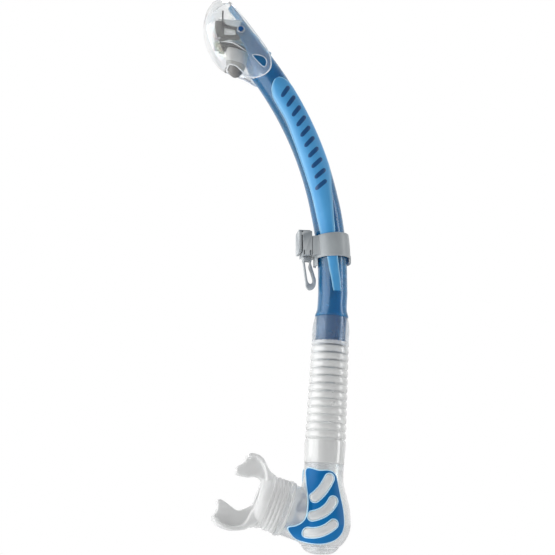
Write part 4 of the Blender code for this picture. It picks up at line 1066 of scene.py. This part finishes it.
def make_mouthpiece():
    """The neck with its folds, the retaining band, and the flange."""
    outer = [(19.9, 27), (20.3, 27.3), (20.3, 28.4), (19.9, 28.7), (19.6, 28.8), (19.6, 31.9), (19.9, 32),
             (20.3, 32.3)]
    for k in range(3):
        low = 34.6 + BELLOWS_PITCH * k
        for j in range(9):
            u = j / 8
            outer.append((19.3 + 1.0 * max(0.0, math.sin(math.pi * u)) ** 0.6, low - 2.0 + BELLOWS_PITCH * u))
    outer += [(19.6, 42), (19.6, 43)]
    inner = [(17.2, 43), (17.4, 38), (17.6, 35), (17.6, 27)]
    neck = add("mouthpiece_bellows", turned(outer + inner, 80, loop=True), PORT)
    finish(neck, None, MOUTH, "clear_silicone", angle=50)
    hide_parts("mouthpiece_neck")
    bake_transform(neck)
    band = turned([(19.9, 29.2), (20.7, 29), (21, 29.3), (21, 31.3), (20.7, 31.6), (19.9, 31.4)], 80,
                  loop=True)
    finish(add("port_band", band, PORT), "mouthpiece_sleeve", CLEAR, "clear_plastic", "mouthpiece_tie",
                 angle=50)

    arch = curve(ARCH, 4)
    shield = curve(SHIELD, 3)
    flange = add("mouthpiece_moulding", prism(arch, -6.8, 6.8), PORT)
    join(flange, add("shield", prism(shield, -12.3, 12.3), PORT))
    root = [(19.9, 43.3), (20.1, 44.4), (19.3, 45.4), (19.9, 46.4), (19.3, 47.6), (18.6, 49.2), (16, 51.6)]
    join(flange, add("root", turned(root), PORT))
    limit = [(20.5, 40), (20.5, 45), (24, 50.5), (28, 55), (34, 60), (46, 70), (46, 90)]
    common(flange, add("limit", turned(limit), PORT))
    passage = skin([oval(a, b, z, 64) for a, b, z in ((17.2, 17.2, 40), (16.8, 16, 44), (15.5, 13, 46),
                                                      (11, 7, 48.6), (9.5, 5.4, 50), (9, 5.2, 60))])
    cut(flange, add("passage", passage, PORT))
    soft_block(flange, 0.62, 7)
    finish(flange, "mouthpiece", MOUTH, "clear_silicone", "mouthpiece_flange", angle=180)


# -------- kept CAD nodes
def paint_nodes():
    """The eight CAD nodes that stay visible get their materials."""
    kept = {"valve_duct": DUCT, "float_pin": STEEL, "bracket_pin_near": PIN_BLUE, "bracket_pin_far": PIN_BLUE,
            "seal_carrier": BLACK, "purge_seat": CLEAR, "purge_diaphragm": MOUTH, "purge_cover": CLEAR}
    for name, mat in kept.items():
        node = frame["nodes"][name]
        node.data.materials.clear()
        node.data.materials.append(mat)


# -------- studio
CAMERA_SPOT = (-0.13785, -0.86840, -0.23066)
CAMERA_AIM = (-0.01580, 0.0, -0.02821)
# Name, place, width, height and watts.
LAMPS = (("key", (-1.25, -0.25, 0.0), 1.6, 1.5, 21), ("fill", (1.35, -0.4, 0.1), 0.4, 1.3, 8),
         ("top", (0.3, 0.5, 1.6), 0.7, 0.7, 6))


def aimed(name, data, spot, aim):
    """A lamp or camera that stands at a spot and looks at another."""
    made = bpy.data.objects.new(name, data)
    bpy.context.scene.collection.objects.link(made)
    made.location = spot
    made.rotation_euler = (aim - made.location).to_track_quat("-Z", "Y").to_euler()
    return made


def make_studio():
    """A pale floor below the snorkel, three area lamps, and a white world, dimmer towards the front."""
    low, high = CAD_BOX
    middle = (Vector(low) + Vector(high)) / 2
    ground = bmesh.new()
    bmesh.ops.create_grid(ground, x_segments=24, y_segments=24, size=60.0)
    floor = add("floor", ground, Matrix.Translation((middle.x, 0, low[2] - 0.5)))
    pale = plastic("floor_paint", (0.86, 0.86, 0.86), 0.6, shade=(0.84, 0.84, 0.84), patch=3.0,
                   grain=200)
    floor.data.materials.append(pale)
    for name, spot, width, height, watts in LAMPS:
        lamp = bpy.data.lights.new(name, "AREA")
        lamp.shape = "RECTANGLE"
        lamp.size = width
        lamp.size_y = height
        lamp.energy = watts
        aimed(name, lamp, spot, middle)
    world = bpy.data.worlds.new("studio")
    bpy.context.scene.world = world
    world.use_nodes = True
    nodes = world.node_tree.nodes
    links = world.node_tree.links
    sky = nodes["Background"]
    where = nodes.new("ShaderNodeTexCoord")
    parts = nodes.new("ShaderNodeSeparateXYZ")
    links.new(where.outputs["Generated"], parts.inputs[0])
    ramp = nodes.new("ShaderNodeMapRange")
    ramp.interpolation_type = "SMOOTHSTEP"
    for key, number in (("From Min", -0.7), ("From Max", 0.9), ("To Min", 0.34), ("To Max", 0.95)):
        ramp.inputs[key].default_value = number
    links.new(parts.outputs["Y"], ramp.inputs["Value"])
    seen = nodes.new("ShaderNodeLightPath")
    pick = nodes.new("ShaderNodeMix")
    links.new(seen.outputs["Is Camera Ray"], pick.inputs[0])
    links.new(ramp.outputs["Result"], pick.inputs[2])
    pick.inputs[3].default_value = 1.0
    links.new(pick.outputs[0], sky.inputs["Strength"])
    sky.inputs["Color"].default_value = (1.0, 1.0, 1.0, 1.0)


def make_camera():
    """The camera stands 0.9 m away, below the snorkel's middle and to its left."""
    data = bpy.data.cameras.new("camera")
    data.lens = 75.3
    data.sensor_width = 36.0
    bpy.context.scene.camera = aimed("camera", data, CAMERA_SPOT, Vector(CAMERA_AIM))
    bpy.context.scene.view_settings.view_transform = "Standard"
    cycles = bpy.context.scene.cycles
    cycles.max_bounces = 24
    cycles.transmission_bounces = 20
    cycles.transparent_max_bounces = 24


make_camera()
make_barrel()
for which, title in SIDES:
    make_inlay(which, title)
make_keeper()
make_shroud()
make_valve()
make_flex()
make_chamber()
make_mouthpiece()
paint_nodes()
make_studio()
